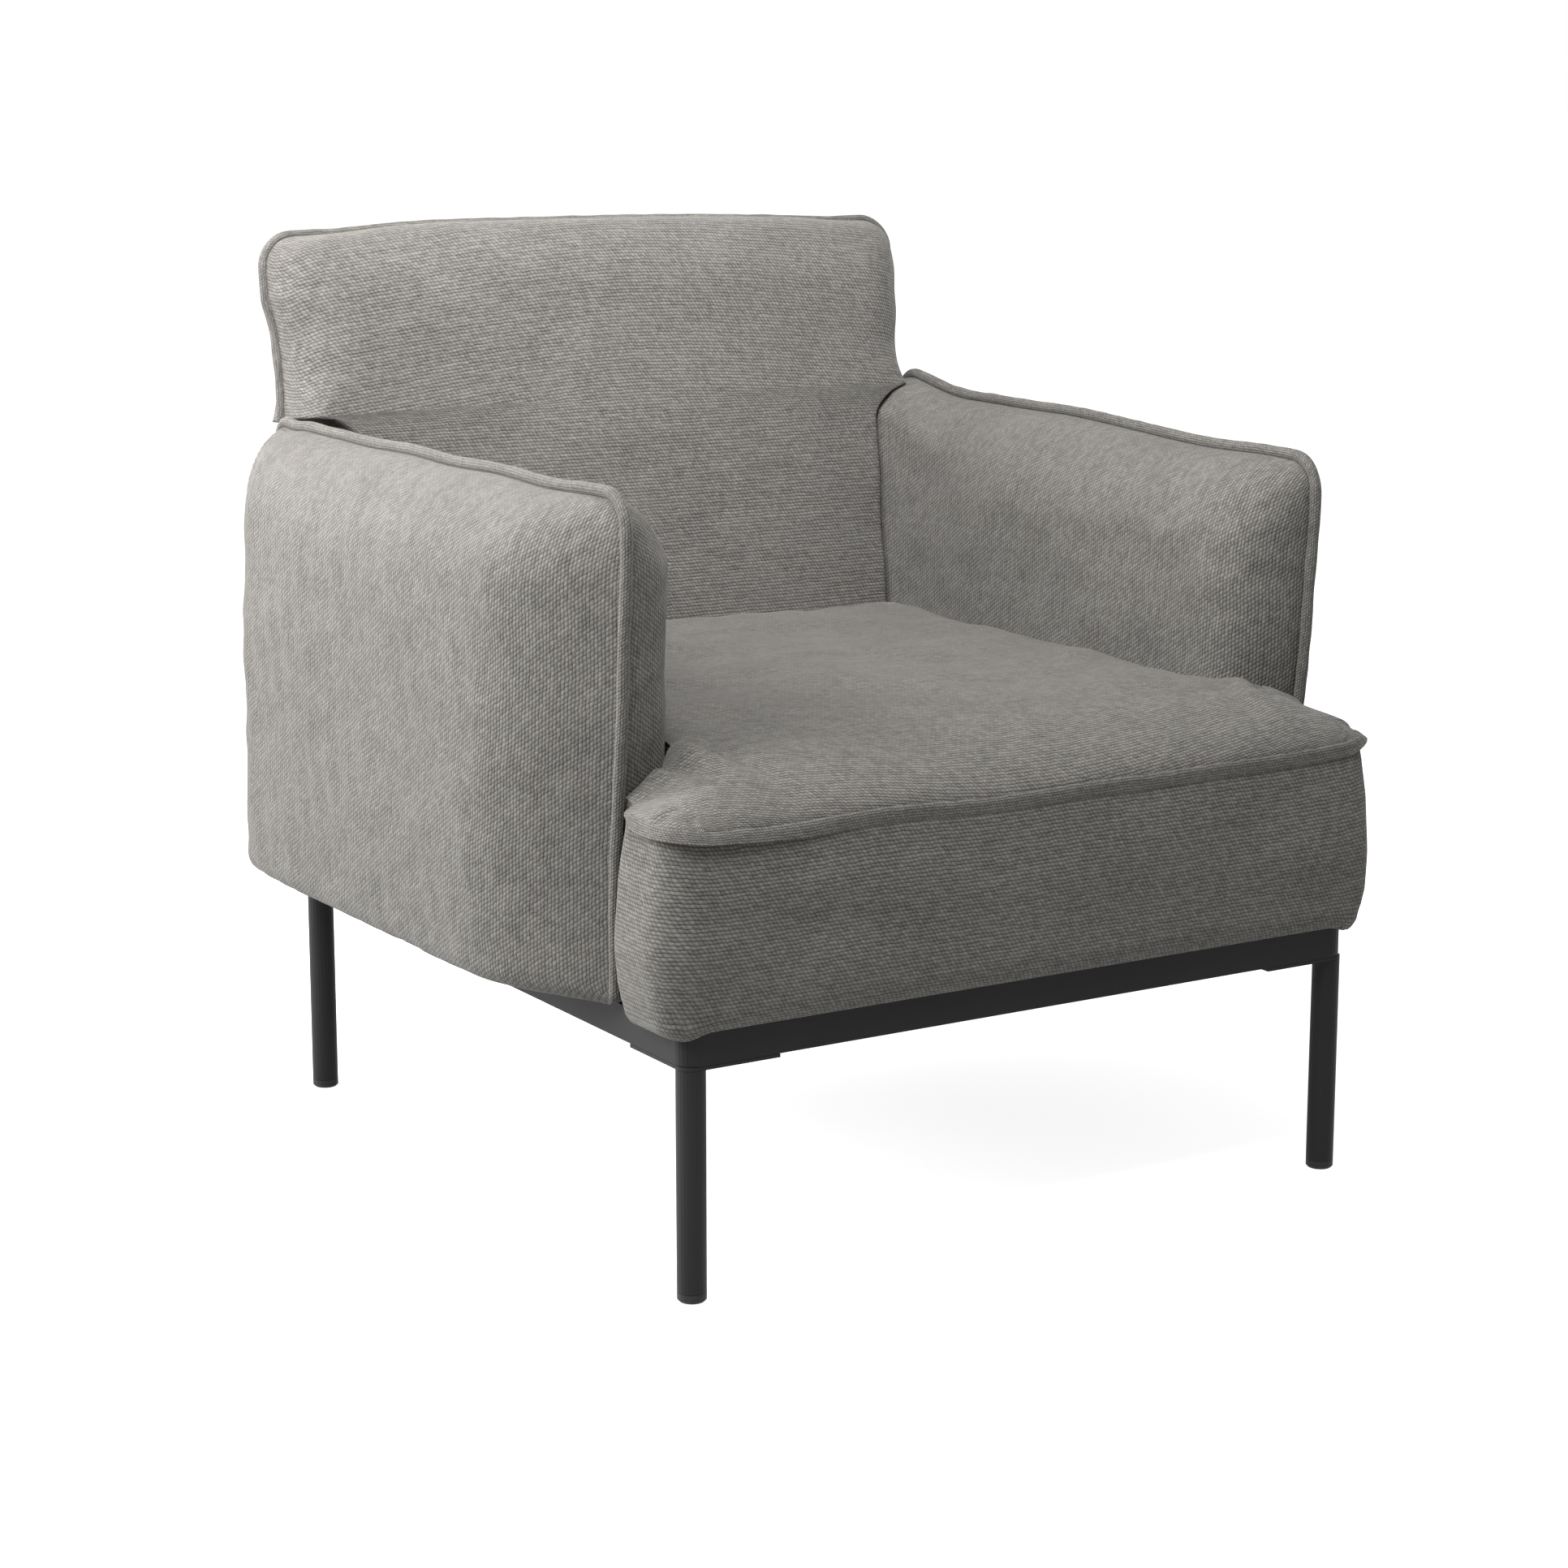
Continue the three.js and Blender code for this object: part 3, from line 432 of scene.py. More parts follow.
def zinc():
    """Bright zinc plating with its uneven bloom."""
    material, tree, shader = start("zinc", Metallic=1.0)
    bloom = grain(tree, 260.0, 4.0)
    tree.links.new(mixed(tree, bloom, (0.42, 0.43, 0.44, 1), (0.68, 0.69, 0.70, 1)),
                   shader.inputs["Base Color"])
    tree.links.new(shade(tree, 0.26, 0.46, bloom), shader.inputs["Roughness"])
    bumped(tree, shader, bloom, 0.00005, 0.5)
    return material


def glide_plastic():
    """Black nylon, scuffed by the floor."""
    material, tree, shader = start("glide_plastic", Specular_IOR_Level=0.10)
    scuff = grain(tree, 420.0, 4.0)
    tree.links.new(mixed(tree, scuff, (0.005, 0.005, 0.005, 1), (0.012, 0.012, 0.012, 1)),
                   shader.inputs["Base Color"])
    tree.links.new(shade(tree, 0.40, 0.62, scuff), shader.inputs["Roughness"])
    bumped(tree, shader, scuff, 0.0001, 0.4)
    return material


def timber():
    """Planed softwood with its growth rings running along X."""
    material, tree, shader = start("timber", Roughness=0.62)
    place = node(tree, "ShaderNodeTexCoord").outputs["Object"]
    stretched = node(tree, "ShaderNodeMapping", {"Vector": place, "Scale": (7, 70, 70)}).outputs[0]
    rings = node(tree, "ShaderNodeTexWave", {"Vector": stretched, "Scale": 0.6, "Distortion": 5.0,
                                             "Detail": 3.0}, wave_type="RINGS").outputs["Fac"]
    pores = grain(tree, 9.0, 4.0, stretched)
    share = maths(tree, "MULTIPLY_ADD", rings, 0.6, maths(tree, "MULTIPLY", pores, 0.4))
    tree.links.new(mixed(tree, share, (0.33, 0.19, 0.09, 1), (0.60, 0.42, 0.24, 1)),
                   shader.inputs["Base Color"])
    bumped(tree, shader, pores, 0.0003, 0.6)
    return material


def foam():
    """Yellowed seating foam with open cells."""
    material, tree, shader = start("foam", Roughness=0.95, Sheen_Weight=0.15)
    place = node(tree, "ShaderNodeTexCoord").outputs["Object"]
    cells = node(tree, "ShaderNodeTexVoronoi", {"Vector": place, "Scale": 620.0}).outputs["Distance"]
    age = grain(tree, 12.0, 3.0)
    tree.links.new(mixed(tree, age, (0.72, 0.60, 0.34, 1), (0.86, 0.80, 0.62, 1)),
                   shader.inputs["Base Color"])
    bumped(tree, shader, cells, 0.0006, 0.8)
    return material


def webbing():
    """Elastic webbing, woven from dark and pale cords."""
    material, tree, shader = start("webbing", Roughness=0.8)
    place = node(tree, "ShaderNodeTexCoord").outputs["Object"]
    bands = node(tree, "ShaderNodeTexWave", {"Vector": place, "Scale": 90.0}, bands_direction="Y")
    cords = node(tree, "ShaderNodeTexWave", {"Vector": place, "Scale": 160.0}, bands_direction="X")
    weave = maths(tree, "MULTIPLY", bands.outputs["Fac"], cords.outputs["Fac"])
    fluff = grain(tree, 700.0, 2.0)
    share = maths(tree, "MULTIPLY_ADD", weave, 0.6, maths(tree, "MULTIPLY", fluff, 0.4))
    tree.links.new(mixed(tree, share, (0.05, 0.045, 0.04, 1), (0.30, 0.27, 0.22, 1)),
                   shader.inputs["Base Color"])
    bumped(tree, shader, weave, 0.0005, 0.8)
    return material


def underlining():
    """Black spun-bonded cloth with its embossed dots."""
    material, tree, shader = start("underlining", Roughness=0.85, Sheen_Weight=0.2)
    place = node(tree, "ShaderNodeTexCoord").outputs["Object"]
    dots = node(tree, "ShaderNodeTexVoronoi", {"Vector": place, "Scale": 500.0, "Randomness": 0.15},
                distance="EUCLIDEAN").outputs["Distance"]
    fibre = grain(tree, 1500.0, 3.0)
    share = maths(tree, "MULTIPLY_ADD", dots, 0.5, maths(tree, "MULTIPLY", fibre, 0.5))
    tree.links.new(mixed(tree, share, (0.008, 0.008, 0.008, 1), (0.045, 0.045, 0.045, 1)),
                   shader.inputs["Base Color"])
    bumped(tree, shader, share, 0.0002, 0.8)
    return material


UPRIGHT = fabric("fabric_upright", upright=True)
LEVEL = fabric("fabric_level")
TRIM = fabric("fabric_trim", pitch=0.72, tone=0.95)
STEEL = coated_steel()
ZINC = zinc()
PLASTIC = glide_plastic()
WOOD = timber()
FOAM = foam()
WEBBING = webbing()
LINING = underlining()

COVERINGS = {
    "rail": STEEL, "leg_screw": ZINC, "leg": STEEL, "glide": PLASTIC, "bolt": ZINC, "panel": WOOD,
    "base": WOOD, "bottom_rail": WOOD, "top_rail": WOOD, "post": WOOD, "bracket": STEEL,
    "frame": WOOD, "webbing": WEBBING, "dust_cover": LINING, "foam": FOAM, "cover": LEVEL,
    "piping": TRIM,
}


def finish_node(name, piece):
    """Gives a frame node the finish of the longest of the words above that its name holds."""
    words = [word for word in COVERINGS if word in name]
    material = COVERINGS[max(words, key=len)]
    piece.data.materials.clear()
    piece.data.materials.append(material)


# ---- Arms ----
def arm_lift(side, y):
    """How far the top seam stands above or below its straight line."""
    if side < 0:
        hump = 0.003 * bell(y, 0.282, 0.035)
        dip = 0.003 * bell(y, 0.318, 0.018)
        uneven = 0.0012 * ripple(y, 0, 0.2, seed=11)
        return hump - dip + uneven + 0.009 * smooth(y, 0.290, 0.345)
    sag = -0.0015 - 0.0100 * smooth(-y, -0.130, 0.210) + 0.0015 * bell(y, 0.05, 0.12)
    rear_rise = 0.018 * smooth(y, 0.190, 0.340) ** 1.4
    return sag + rear_rise + 0.0010 * ripple(y, 0, 0.2, seed=12)


def arm_lean(side, z):
    """How far back the front seam stands: a little forward at its top, and back at its foot."""
    ear = -0.007 if side < 0 else -0.006
    foot = 0.019 * (1 - smooth(z, 0.30, 0.54))
    return ear * smooth(z, 0.52, 0.62) + foot + 0.002 * (side > 0)


def arm_grid(side, inset, setback):
    """Where an arm's grid points lie in its seam plane, and how far each is from the seams."""
    bottom = FLOOR_Z + inset * ARM_FOAM_FOOT
    top = ARM_TOP - inset
    v = bottom + stations(top - bottom, ARM_UNDER, ARM_EDGE)
    corner = rounded(v, top, ARM_CORNER) + rounded(-v, -bottom, ARM_FOOT_CORNER)
    front = ARM_FRONT + inset + setback + corner + arm_lean(side, v)
    rear = ARM_REAR - inset - corner
    length = ARM_REAR - ARM_FRONT
    s = stations(length, ARM_EDGE, ARM_EDGE) / length
    y = front[:, None] + s[None, :] * (rear - front)[:, None]
    v = np.repeat(v[:, None], len(s), axis=1)
    return y, v, y - front[:, None], rear[:, None] - y, top - v, v - bottom


def arm_inner(y):
    """How far an arm reaches inwards: less at the rear, where the back is squeezed in."""
    return ARM_INNER - ARM_SQUEEZE * smooth(y, 0.08, 0.27)


def arm_top_curve(y):
    """How far down the inner panel keeps curving: least beside the back."""
    return ARM_TOP_CURVE - ARM_TOP_PRESSED * smooth(y, 0.10, 0.27)


def arm_panels(side, inset=0.0, setback=0.0):
    """The inner and outer panels as grids, rows upwards and columns rearwards."""
    y, v, to_front, to_rear, to_top, to_floor = arm_grid(side, inset, setback)
    z = v + arm_lift(side, y) * smooth(v, FLOOR_Z, ARM_TOP)
    under = rise(to_floor, ARM_UNDER, 3.5)
    front_edge = ARM_EDGE - np.clip(arm_lean(side, v), -0.02, 0.03)
    inner = (rise(to_front, front_edge) * rise(to_rear, ARM_REAR_EDGE, 2.8)
             * rise(to_top, arm_top_curve(y)) * under)
    outer = lens(to_front, ARM_LENS) * rise(to_rear, ARM_EDGE) * rise(to_top, ARM_OUTER_TOP) * under
    outer = outer * (1 + ARM_BELLY * (1 - smooth(z, 0.30, 0.58)))
    crown = ARM_CROWN * lens(to_front, 0.30) * lens(to_rear, 0.30) * lens(to_top, 0.20) * under
    seed = 20 + side
    uneven = 0.0016 * ripple(y, z, 0.16, seed) + 0.0007 * ripple(y, z, 0.05, seed + 5)
    inner = inner * (arm_inner(y) - ARM_CROWN - inset + uneven) + crown
    outer = outer * (ARM_OUTER - ARM_CROWN - inset + uneven) + crown
    if inset == 0.0:
        outer = outer * (1 - gathers(side, y, z, to_front, to_rear, to_top, 3))
        inner = inner * (1 - gathers(side, y, z, to_front, to_rear, to_top, 7))
    flat = np.full_like(y, side * ARM_X)
    inner_grid = np.stack([flat - side * inner, y, z], axis=2)
    outer_grid = np.stack([flat + side * outer, y, z], axis=2)
    return inner_grid, outer_grid


def gathers(side, y, z, to_front, to_rear, to_top, seed):
    """Small creases that run out of the two top corners and along the seams."""
    total = 0
    for distance in (to_front, to_rear):
        angle = np.arctan2(to_top + 0.004, distance + 0.004)
        away = np.hypot(distance, to_top)
        fan = np.sin(angle * 17 + seed) * 0.6 + np.sin(angle * 29 + seed * 2) * 0.4
        total = total + 0.11 * fan * np.exp(-away / 0.034)
    nearest = np.minimum(np.minimum(to_front, to_rear), to_top)
    return total + 0.05 * ripple(y, z, 0.028, 40 + seed + side) * np.exp(-nearest / 0.012)


def arm(side):
    """One arm: its cover, the piping round its seam and the foam on both sides of its board."""
    word = "left" if side < 0 else "right"
    inner, outer = arm_panels(side)
    cushion = pillow(word + "_arm_cushion", inner, outer, UPRIGHT)
    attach(cushion, "root")
    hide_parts(word + "_arm_cover")

    seam = np.concatenate([inner[:, -1], inner[-1, -2:0:-1], inner[::-1, 0]])
    seam = even_path(seam[1:-1], CORD_STEP)[3:-3]        # the piping stops short of both its lower ends
    axis = np.tile([1.0, 0.0, 0.0], (len(seam), 1))
    arm_middle = np.array([side * ARM_X, 0.0, 0.45])
    seam = pushed_out(seam, axis, ARM_PIPE_OUT * ARM_PIPE, arm_middle)
    run = np.arange(len(seam)) * CORD_STEP
    thick = ARM_PIPE * (ARM_PIPE_FULL + 0.045 * ripple(run, 0, 0.03, 50 + side))
    piping = cord(word + "_arm_welt", seam, thick, axis, TRIM)
    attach(piping, "root")
    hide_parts(word + "_arm_piping")

    inner, outer = arm_panels(side, inset=FOAM_INSET, setback=ARM_FOAM_SETBACK)
    board = 0.0095        # from the arm's middle plane to the foam, past its timber panel
    for name, grid, sign in (("inner", inner, -side), ("outer", outer, side)):
        near = grid.copy()
        depth = np.maximum((near[:, :, 0] - side * ARM_X) * sign, board + THINNEST_FOAM)
        near[:, :, 0] = side * ARM_X + sign * depth
        far = near.copy()
        far[:, :, 0] = side * ARM_X + sign * board
        block = slab(word + "_arm_filling_" + name, near, far, FOAM)
        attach(block, "root")
        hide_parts(word + "_arm_foam_" + name)


def even_path(points, spacing):
    """The same route with its points evenly spaced."""
    gaps = np.linalg.norm(np.diff(points, axis=0), axis=1)
    keep = np.concatenate([[True], gaps > 1e-6])
    points = points[keep]
    run = run_along(points)
    count = max(3, round(run[-1] / spacing) + 1)
    places = np.linspace(0, run[-1], count)
    return np.stack([np.interp(places, run, points[:, k]) for k in range(3)], axis=1)


def pushed_out(path, axis, distance, middle):
    """The path moved away from the middle, square to its own direction and to the axis."""
    tangent = np.gradient(path, axis=0)
    side = np.cross(tangent, axis)
    side /= np.linalg.norm(side, axis=1)[:, None]
    outward = np.einsum("ij,ij->i", side, path - middle)
    side[outward < 0] *= -1
    return path + side * distance


# ---- Back ----
def back_place(x, w, depth, lift=0.0):
    """A point on the reclined back: w up the seam plane, depth forwards."""
    y = RAIL_Y - BACK_INSET + (w + lift) * math.sin(BACK_TILT) - depth * math.cos(BACK_TILT)
    z = RAIL_TOP + GAP + (w + lift) * math.cos(BACK_TILT) + depth * math.sin(BACK_TILT)
    return np.stack([x, y, z], axis=2)


def back_half(w, inset, ear, waist):
    """Half the back's width at each height: narrow between the arms, full width above them."""
    z = RAIL_TOP + w * math.cos(BACK_TILT)
    below = ARM_TOP + 0.004 - z        # under the arm's piping
    narrow = ARM_X - (arm_inner(RAIL_Y) - BACK_PRESS) * rise(below, arm_top_curve(RAIL_Y))
    narrow = np.where(below < 0, ARM_X, narrow)
    wide = BACK_HALF + 0.0015 - 0.003 * bell(z, 0.70, 0.05) + ear * smooth(z, 0.735, 0.812)
    wide = wide - waist * (1 - smooth(z, ARM_TOP - 0.010, ARM_TOP + 0.075))
    return np.minimum(narrow, wide) - inset


def back_rows(bottom, top, inset):
    """Places up the back, closer together in the cover where it widens above the arms."""
    w = bottom + stations(top - bottom, BACK_FOOT, BACK_EDGE)
    if inset > 0.0:
        return w
    w = w[(w < 0.352) | (w > 0.458)]
    return np.sort(np.concatenate([w, np.linspace(0.355, 0.455, 34)]))


def back_panels(inset=0.0):
    """The front and rear panels as grids, rows upwards and columns from left to right."""
    bottom = inset * BACK_FOAM_FOOT
    top = BACK_HEIGHT - inset
    w = back_rows(bottom, top, inset)
    corner = rounded(w, top, BACK_CORNER)
    left = back_half(w, inset, ear=0.013, waist=0.0) - corner
    right = back_half(w, inset, ear=0.000, waist=0.010) - corner
    s = stations(2 * BACK_HALF, BACK_EDGE, BACK_EDGE) / BACK_HALF - 1
    half = np.where(s[None, :] < 0, left[:, None], right[:, None])
    x = half * s[None, :]
    w = np.repeat(w[:, None], len(s), axis=1)
    to_side = half - np.abs(x)
    to_top = top - w
    z = RAIL_TOP + w * math.cos(BACK_TILT)
    free = smooth(z, ARM_TOP - 0.012, ARM_TOP + 0.050)
    edge = BACK_TUCK + (BACK_EDGE - BACK_TUCK) * free
    sides = rise(to_side, edge, 2.6 - 0.6 * free)
    foot = rise(w - bottom, BACK_FOOT, 3.0)
    swell = lens(to_side, 0.28) * lens(to_top, 0.25)
    uneven = 0.0018 * ripple(x, w, 0.22, seed=61) + 0.0007 * ripple(x, w, 0.06, seed=62)
    front = sides * rise(to_top, 0.062) * foot * (BACK_FRONT - inset + uneven) + BACK_CROWN * swell * foot
    rear = sides * rise(to_top, 0.055) * foot * (BACK_REAR - inset + uneven) + BACK_REAR_CROWN * swell * foot
    if inset == 0.0:
        crease = gathers(0, x, w, to_side, to_side + 9.0, to_top, 5) * free
        front = front * (1 - crease)
        rear = rear * (1 - crease)
    bow = 0.012 * (1 - (x / BACK_HALF) ** 2) + 0.003 * bell(x, -0.20, 0.10)
    bow = bow * smooth(w, 0.36, BACK_HEIGHT)
    ear = 0.004 * smooth(np.abs(x), 0.27, 0.345) * smooth(w, 0.45, BACK_HEIGHT)
    puff = 0.010 * bell(to_top, 0.016, 0.020) * lens(to_side, 0.12) * rise(to_top, 0.01)
    front_grid = back_place(x, w, front, bow + ear + puff)
    rear_grid = back_place(x, w, -rear, bow + ear + puff * 0.6)
    return front_grid, rear_grid


def back():
    """The back: its cover, the piping round its free part and the foam before and behind its frame."""
    front, rear = back_panels()
    cushion = pillow("back_cushion", front, rear, LEVEL)
    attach(cushion, "root")
    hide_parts("back_cover")

    row = int(np.argmax(front[:, 0, 2] > ARM_TOP + 0.001))
    seam = np.concatenate([front[row:, -1], front[-1, -2:0:-1], front[row:, 0][::-1]])
    seam = even_path(seam, CORD_STEP)
    normal = np.array([0.0, -math.cos(BACK_TILT), math.sin(BACK_TILT)])
    axis = np.tile(normal, (len(seam), 1))
    back_middle = np.array([0.0, 0.35, 0.62])
    seam = pushed_out(seam, axis, 0.5 * BACK_PIPE, back_middle)
    run = np.arange(len(seam)) * CORD_STEP
    thick = BACK_PIPE * (1 + 0.05 * ripple(run, 0, 0.03, seed=55))
    piping = cord("back_welt", seam, thick, axis, TRIM)
    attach(piping, "root")
    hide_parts("back_piping")

    inner_front, inner_rear = back_panels(inset=FOAM_INSET)
    board = 0.0145        # from the seam plane to the foam, past the timber frame
    plane = np.array([0.0, RAIL_Y - BACK_INSET, RAIL_TOP + GAP])
    for name, grid, sign in (("front", inner_front, 1.0), ("rear", inner_rear, -1.0)):
        depth = ((grid - plane) * normal).sum(axis=2) * sign
        near = grid + (np.maximum(depth, board + THINNEST_FOAM) - depth)[:, :, None] * normal * sign
        depth = ((near - plane) * normal).sum(axis=2) * sign
        far = near - (depth - board)[:, :, None] * normal * sign
        block = slab("back_filling_" + name, near, far, FOAM)
        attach(block, "root")
        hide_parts("back_foam_" + name)


# ---- Seat ----
WING_REAR = ARM_FRONT - 2 * ARM_PIPE - GAP - FABRIC_GAP
SEAT_BOTTOM = FLOOR_Z + GAP


def seat_rear_y(z):
    """Where the back's front panel comes down to the seat."""
    w = (z - RAIL_TOP) / math.cos(BACK_TILT)
    reach = (BACK_FRONT + BACK_CROWN + 0.0015) / math.cos(BACK_TILT)
    return RAIL_Y - BACK_INSET + w * math.sin(BACK_TILT) - reach


def seat_half(y):
    """Half the seat's width at each depth: wings in front of the arms, narrow between them."""
    press = rise(y - ARM_FRONT - SEAT_ARM_LEAN, ARM_EDGE - SEAT_ARM_LEAN)
    behind = ARM_X - (arm_inner(y) + FABRIC_GAP) * press
    behind = np.minimum(behind, ARM_X - ARM_PIPE - FABRIC_GAP)
    wing = SEAT_X - rounded(-y, -SEAT_FRONT, SEAT_CORNER) - rounded(y, WING_REAR, WING_CORNER)
    return np.where(y <= WING_REAR + 1e-6, wing, behind)


def seam_height(x, y):
    """The lip's height: it stands a little higher at the corners and on the right."""
    right_rise = 0.005 * smooth(x, 0.10, 0.36)
    left_rise = 0.003 * smooth(y, SEAT_FRONT + 0.02, WING_REAR) * smooth(-x, 0.05, 0.30)
    uneven = 0.0012 * ripple(x, y, 0.12, seed=71)
    corner_rise = 0.003 * smooth(np.abs(x), 0.325, 0.36)
    return SEAT_SEAM_Z + (right_rise + left_rise) + uneven + corner_rise


def seat_height(x, y, half):
    """The seat's top: crowned behind its front seam, flatter at the wings, tucked beside arms and back."""
    from_side = SEAT_X - np.abs(x) + 1.3 * np.clip(y - WING_REAR, 0, None)
    from_front = y - SEAT_FRONT
    corner = np.hypot(np.clip(SEAT_CORNER - from_side, 0, None), np.clip(SEAT_CORNER - from_front, 0, None))
    corner = np.clip(SEAT_CORNER - corner, 0, None)
    from_side = np.where((from_side < SEAT_CORNER) & (from_front < SEAT_CORNER), corner, from_side)
    in_corner = (from_side <= SEAT_CORNER) & (from_front < SEAT_CORNER) & (corner < SEAT_CORNER)
    from_front = np.where(in_corner, np.maximum(corner, 0), from_front)
    crown = rise(from_front, SEAT_RUN, 1.9) * rise(from_side, SEAT_SIDE_RUN, 1.9)
    from_wing = np.hypot(SEAT_X - np.abs(x), np.clip(WING_REAR - y, 0, None))
    crown = crown * (1 - np.where(x < 0, 0.68, 0.30) * np.exp(-(from_wing / 0.040) ** 2))
    dome = SEAT_DOME * np.cos(np.clip(x / 0.30, -1, 1) * math.pi / 2) * lens(from_front, 0.35)
    beside = smooth(y, WING_REAR, WING_REAR + 0.05)
    tuck = 0.008 * np.exp(-(half - np.abs(x)) / 0.010) * beside
    tuck = tuck + 0.008 * np.exp(-(seat_rear_y(SEAT_REAR_Z) - y) / 0.012)
    uneven = 0.0016 * ripple(x, y, 0.20, seed=72) + 0.0007 * ripple(x, y, 0.055, seed=73)
    sunk = 0.004
    return (seam_height(x, y) + SEAT_CROWN * crown - sunk + dome - tuck + uneven * crown
            + seat_folds(x, y))


def seat_folds(x, y):
    """Drag folds that run forwards from where each arm's front corner presses into the seat."""
    total = 0
    for side, deep in ((-1, 1.0), (1, 0.5)):
        aside = side * x - 0.304 - 0.25 * (y - WING_REAR)
        forward = WING_REAR + 0.020 - y
        reach = np.exp(-(np.clip(forward, 0, None) / 0.034) ** 2) * smooth(forward, -0.050, 0)
        groove = -0.0095 * np.exp(-(aside / 0.008) ** 2) * reach
        ridge = 0.0060 * np.exp(-((aside + 0.020) / 0.012) ** 2) * reach
        far = np.exp(-(np.clip(forward, 0, None) / 0.060) ** 2) * smooth(forward, -0.030, 0.010)
        valley = -0.0060 * np.exp(-((aside + 0.043) / 0.012) ** 2) * far
        total = total + deep * (groove + ridge + valley)
    return total


def seat_grid(inset=0.0):
    """The seat's top as a grid, rows from the front seam to the back and columns from left to right."""
    rear_y = seat_rear_y(SEAT_REAR_Z) - inset
    front_y = SEAT_FRONT + inset
    wing_rear = WING_REAR - inset
    corner = front_y + SEAT_CORNER * (1 - np.cos(np.linspace(0, math.pi / 2, 12)))
    wing = np.linspace(corner[-1], wing_rear - WING_CORNER, 12)[1:]
    turn = wing_rear - WING_CORNER * (1 - np.sin(np.linspace(0, math.pi / 2, 6)))[1:]
    step = np.array([wing_rear + 0.0012])
    curve = ARM_FRONT - inset + ARM_EDGE * (1 - np.cos(np.linspace(0.08, math.pi / 2, 20)))
    rest = np.linspace(curve[-1], rear_y, 96)[1:]
    y = np.concatenate([corner, wing, turn, step, curve[curve > step[0] + 0.001], rest])
    half = seat_half(y) - inset
    s = stations(2 * SEAT_X, SEAT_SIDE_RUN, SEAT_SIDE_RUN) / SEAT_X - 1
    x = half[:, None] * s[None, :]
    y = np.repeat(y[:, None], len(s), axis=1)
    z = seat_height(x, y, half[:, None])
    return np.stack([x, y, z], axis=2)


def level_outward(loop):
    """Level directions out of a loop, evened over their neighbours so that they fan out at a corner."""
    ahead = np.roll(loop, -1, axis=0) - np.roll(loop, 1, axis=0)
    outward = np.stack([ahead[:, 1], -ahead[:, 0]], axis=1)
    outward /= np.linalg.norm(outward, axis=1)[:, None]
    outward = np.stack([np.convolve(np.concatenate([outward[-3:, k], outward[:, k], outward[:3, k]]),
                                    np.ones(7) / 7, "valid") for k in (0, 1)], axis=1)
    return outward / np.linalg.norm(outward, axis=1)[:, None]


def open_share(loop):
    """1 where the seat's wall stands free, 0 where it lies against an arm or the back."""
    is_open = (loop[:, 1] < WING_REAR - 0.0005).astype(float)
    eased = np.convolve(np.concatenate([is_open[-2:], is_open, is_open[:2]]), np.ones(5) / 5, "valid")
    return np.minimum(is_open, eased)


# The open wall from the seam down: how far out it stands, and what share of its height it has dropped.
OPEN_WALL = ((0.000, 0.00), (-0.0024, 0.025), (-0.0020, 0.06), (0.0002, 0.12), (0.0016, 0.22),
             (0.0028, 0.32), (0.0034, 0.42), (0.0037, 0.52), (0.0037, 0.62), (0.0034, 0.72),
             (0.0031, 0.82), (0.0026, 0.90), (0.0006, 0.955), (-0.0032, 0.99), (-0.0072, 1.012),
             (-0.0100, 1.010), (-0.0112, 1.000))


def seat_walls(loop, outward, is_open, run):
    """The wall's levels below the seam, the lowest last."""
    profile = np.array(OPEN_WALL)
    corners = np.arange(len(profile))
    fine = np.linspace(0, len(profile) - 1, 3 * (len(profile) - 1) + 1)
    offsets = np.interp(fine, corners, profile[:, 0])
    drops = np.interp(fine, corners, profile[:, 1])
    from_middle = np.abs(loop[:, 0])
    is_rear = (loop[:, 1] > seat_rear_y(SEAT_REAR_Z) - 0.002).astype(float)
    at_side = smooth(from_middle, SEAT_X - 0.03, SEAT_X)
    pinched = 0.30 + 0.50 * smooth(from_middle, 0.18, SEAT_X - 0.02)
    walls = []
    for offset, drop in zip(offsets[1:], drops[1:]):
        z = loop[:, 2] + (SEAT_BOTTOM - loop[:, 2]) * np.where(is_open > 0, drop, min(drop, 1.0))
        corner_droop = (0.006 * bell(from_middle, SEAT_X - 0.012, 0.02)
                        * smooth(drop, 0.88, 0.97) * (drop < 1.011))
        z = z - corner_droop * is_open
        belly = 0.0012 * ripple(run, z, 0.09, seed=81) * math.sin(math.pi * min(drop, 1.0))
        fuller = 1 + np.where(loop[:, 0] > 0, 0.4 + 1.7 * drop, 1.1) * at_side
        share = pinched if drop < 0.10 else fuller + (1 - fuller) * smooth(drop, 0.80, 0.99)
        shift = (offset * share + belly) * is_open - 0.0006 * (1 - is_open)
        xy = loop[:, :2] + outward * shift[:, None]
        xy[:, 1] += (z - SEAT_REAR_Z) * math.tan(BACK_TILT) * is_rear
        walls.append(np.concatenate([xy, z[:, None]], axis=1))
    return np.array(walls)


def seat_underside(grid, ring, last):
    """A grid of points in the wall's lowest level, from its left side across to its right."""
    outer = np.zeros((grid.shape[0] * grid.shape[1], 3))
    outer[ring] = last
    outer = outer.reshape(grid.shape)
    middle_row = grid[len(grid) // 2, :, 0]
    s = (middle_row - middle_row[0]) / (middle_row[-1] - middle_row[0])
    left, right = outer[:, 0], outer[:, -1]
    under = left[:, None] + (right - left)[:, None] * s[None, :, None]
    under[0], under[-1] = outer[0], outer[-1]
    under[:, :, 2] = SEAT_BOTTOM
    return under.reshape(-1, 3)


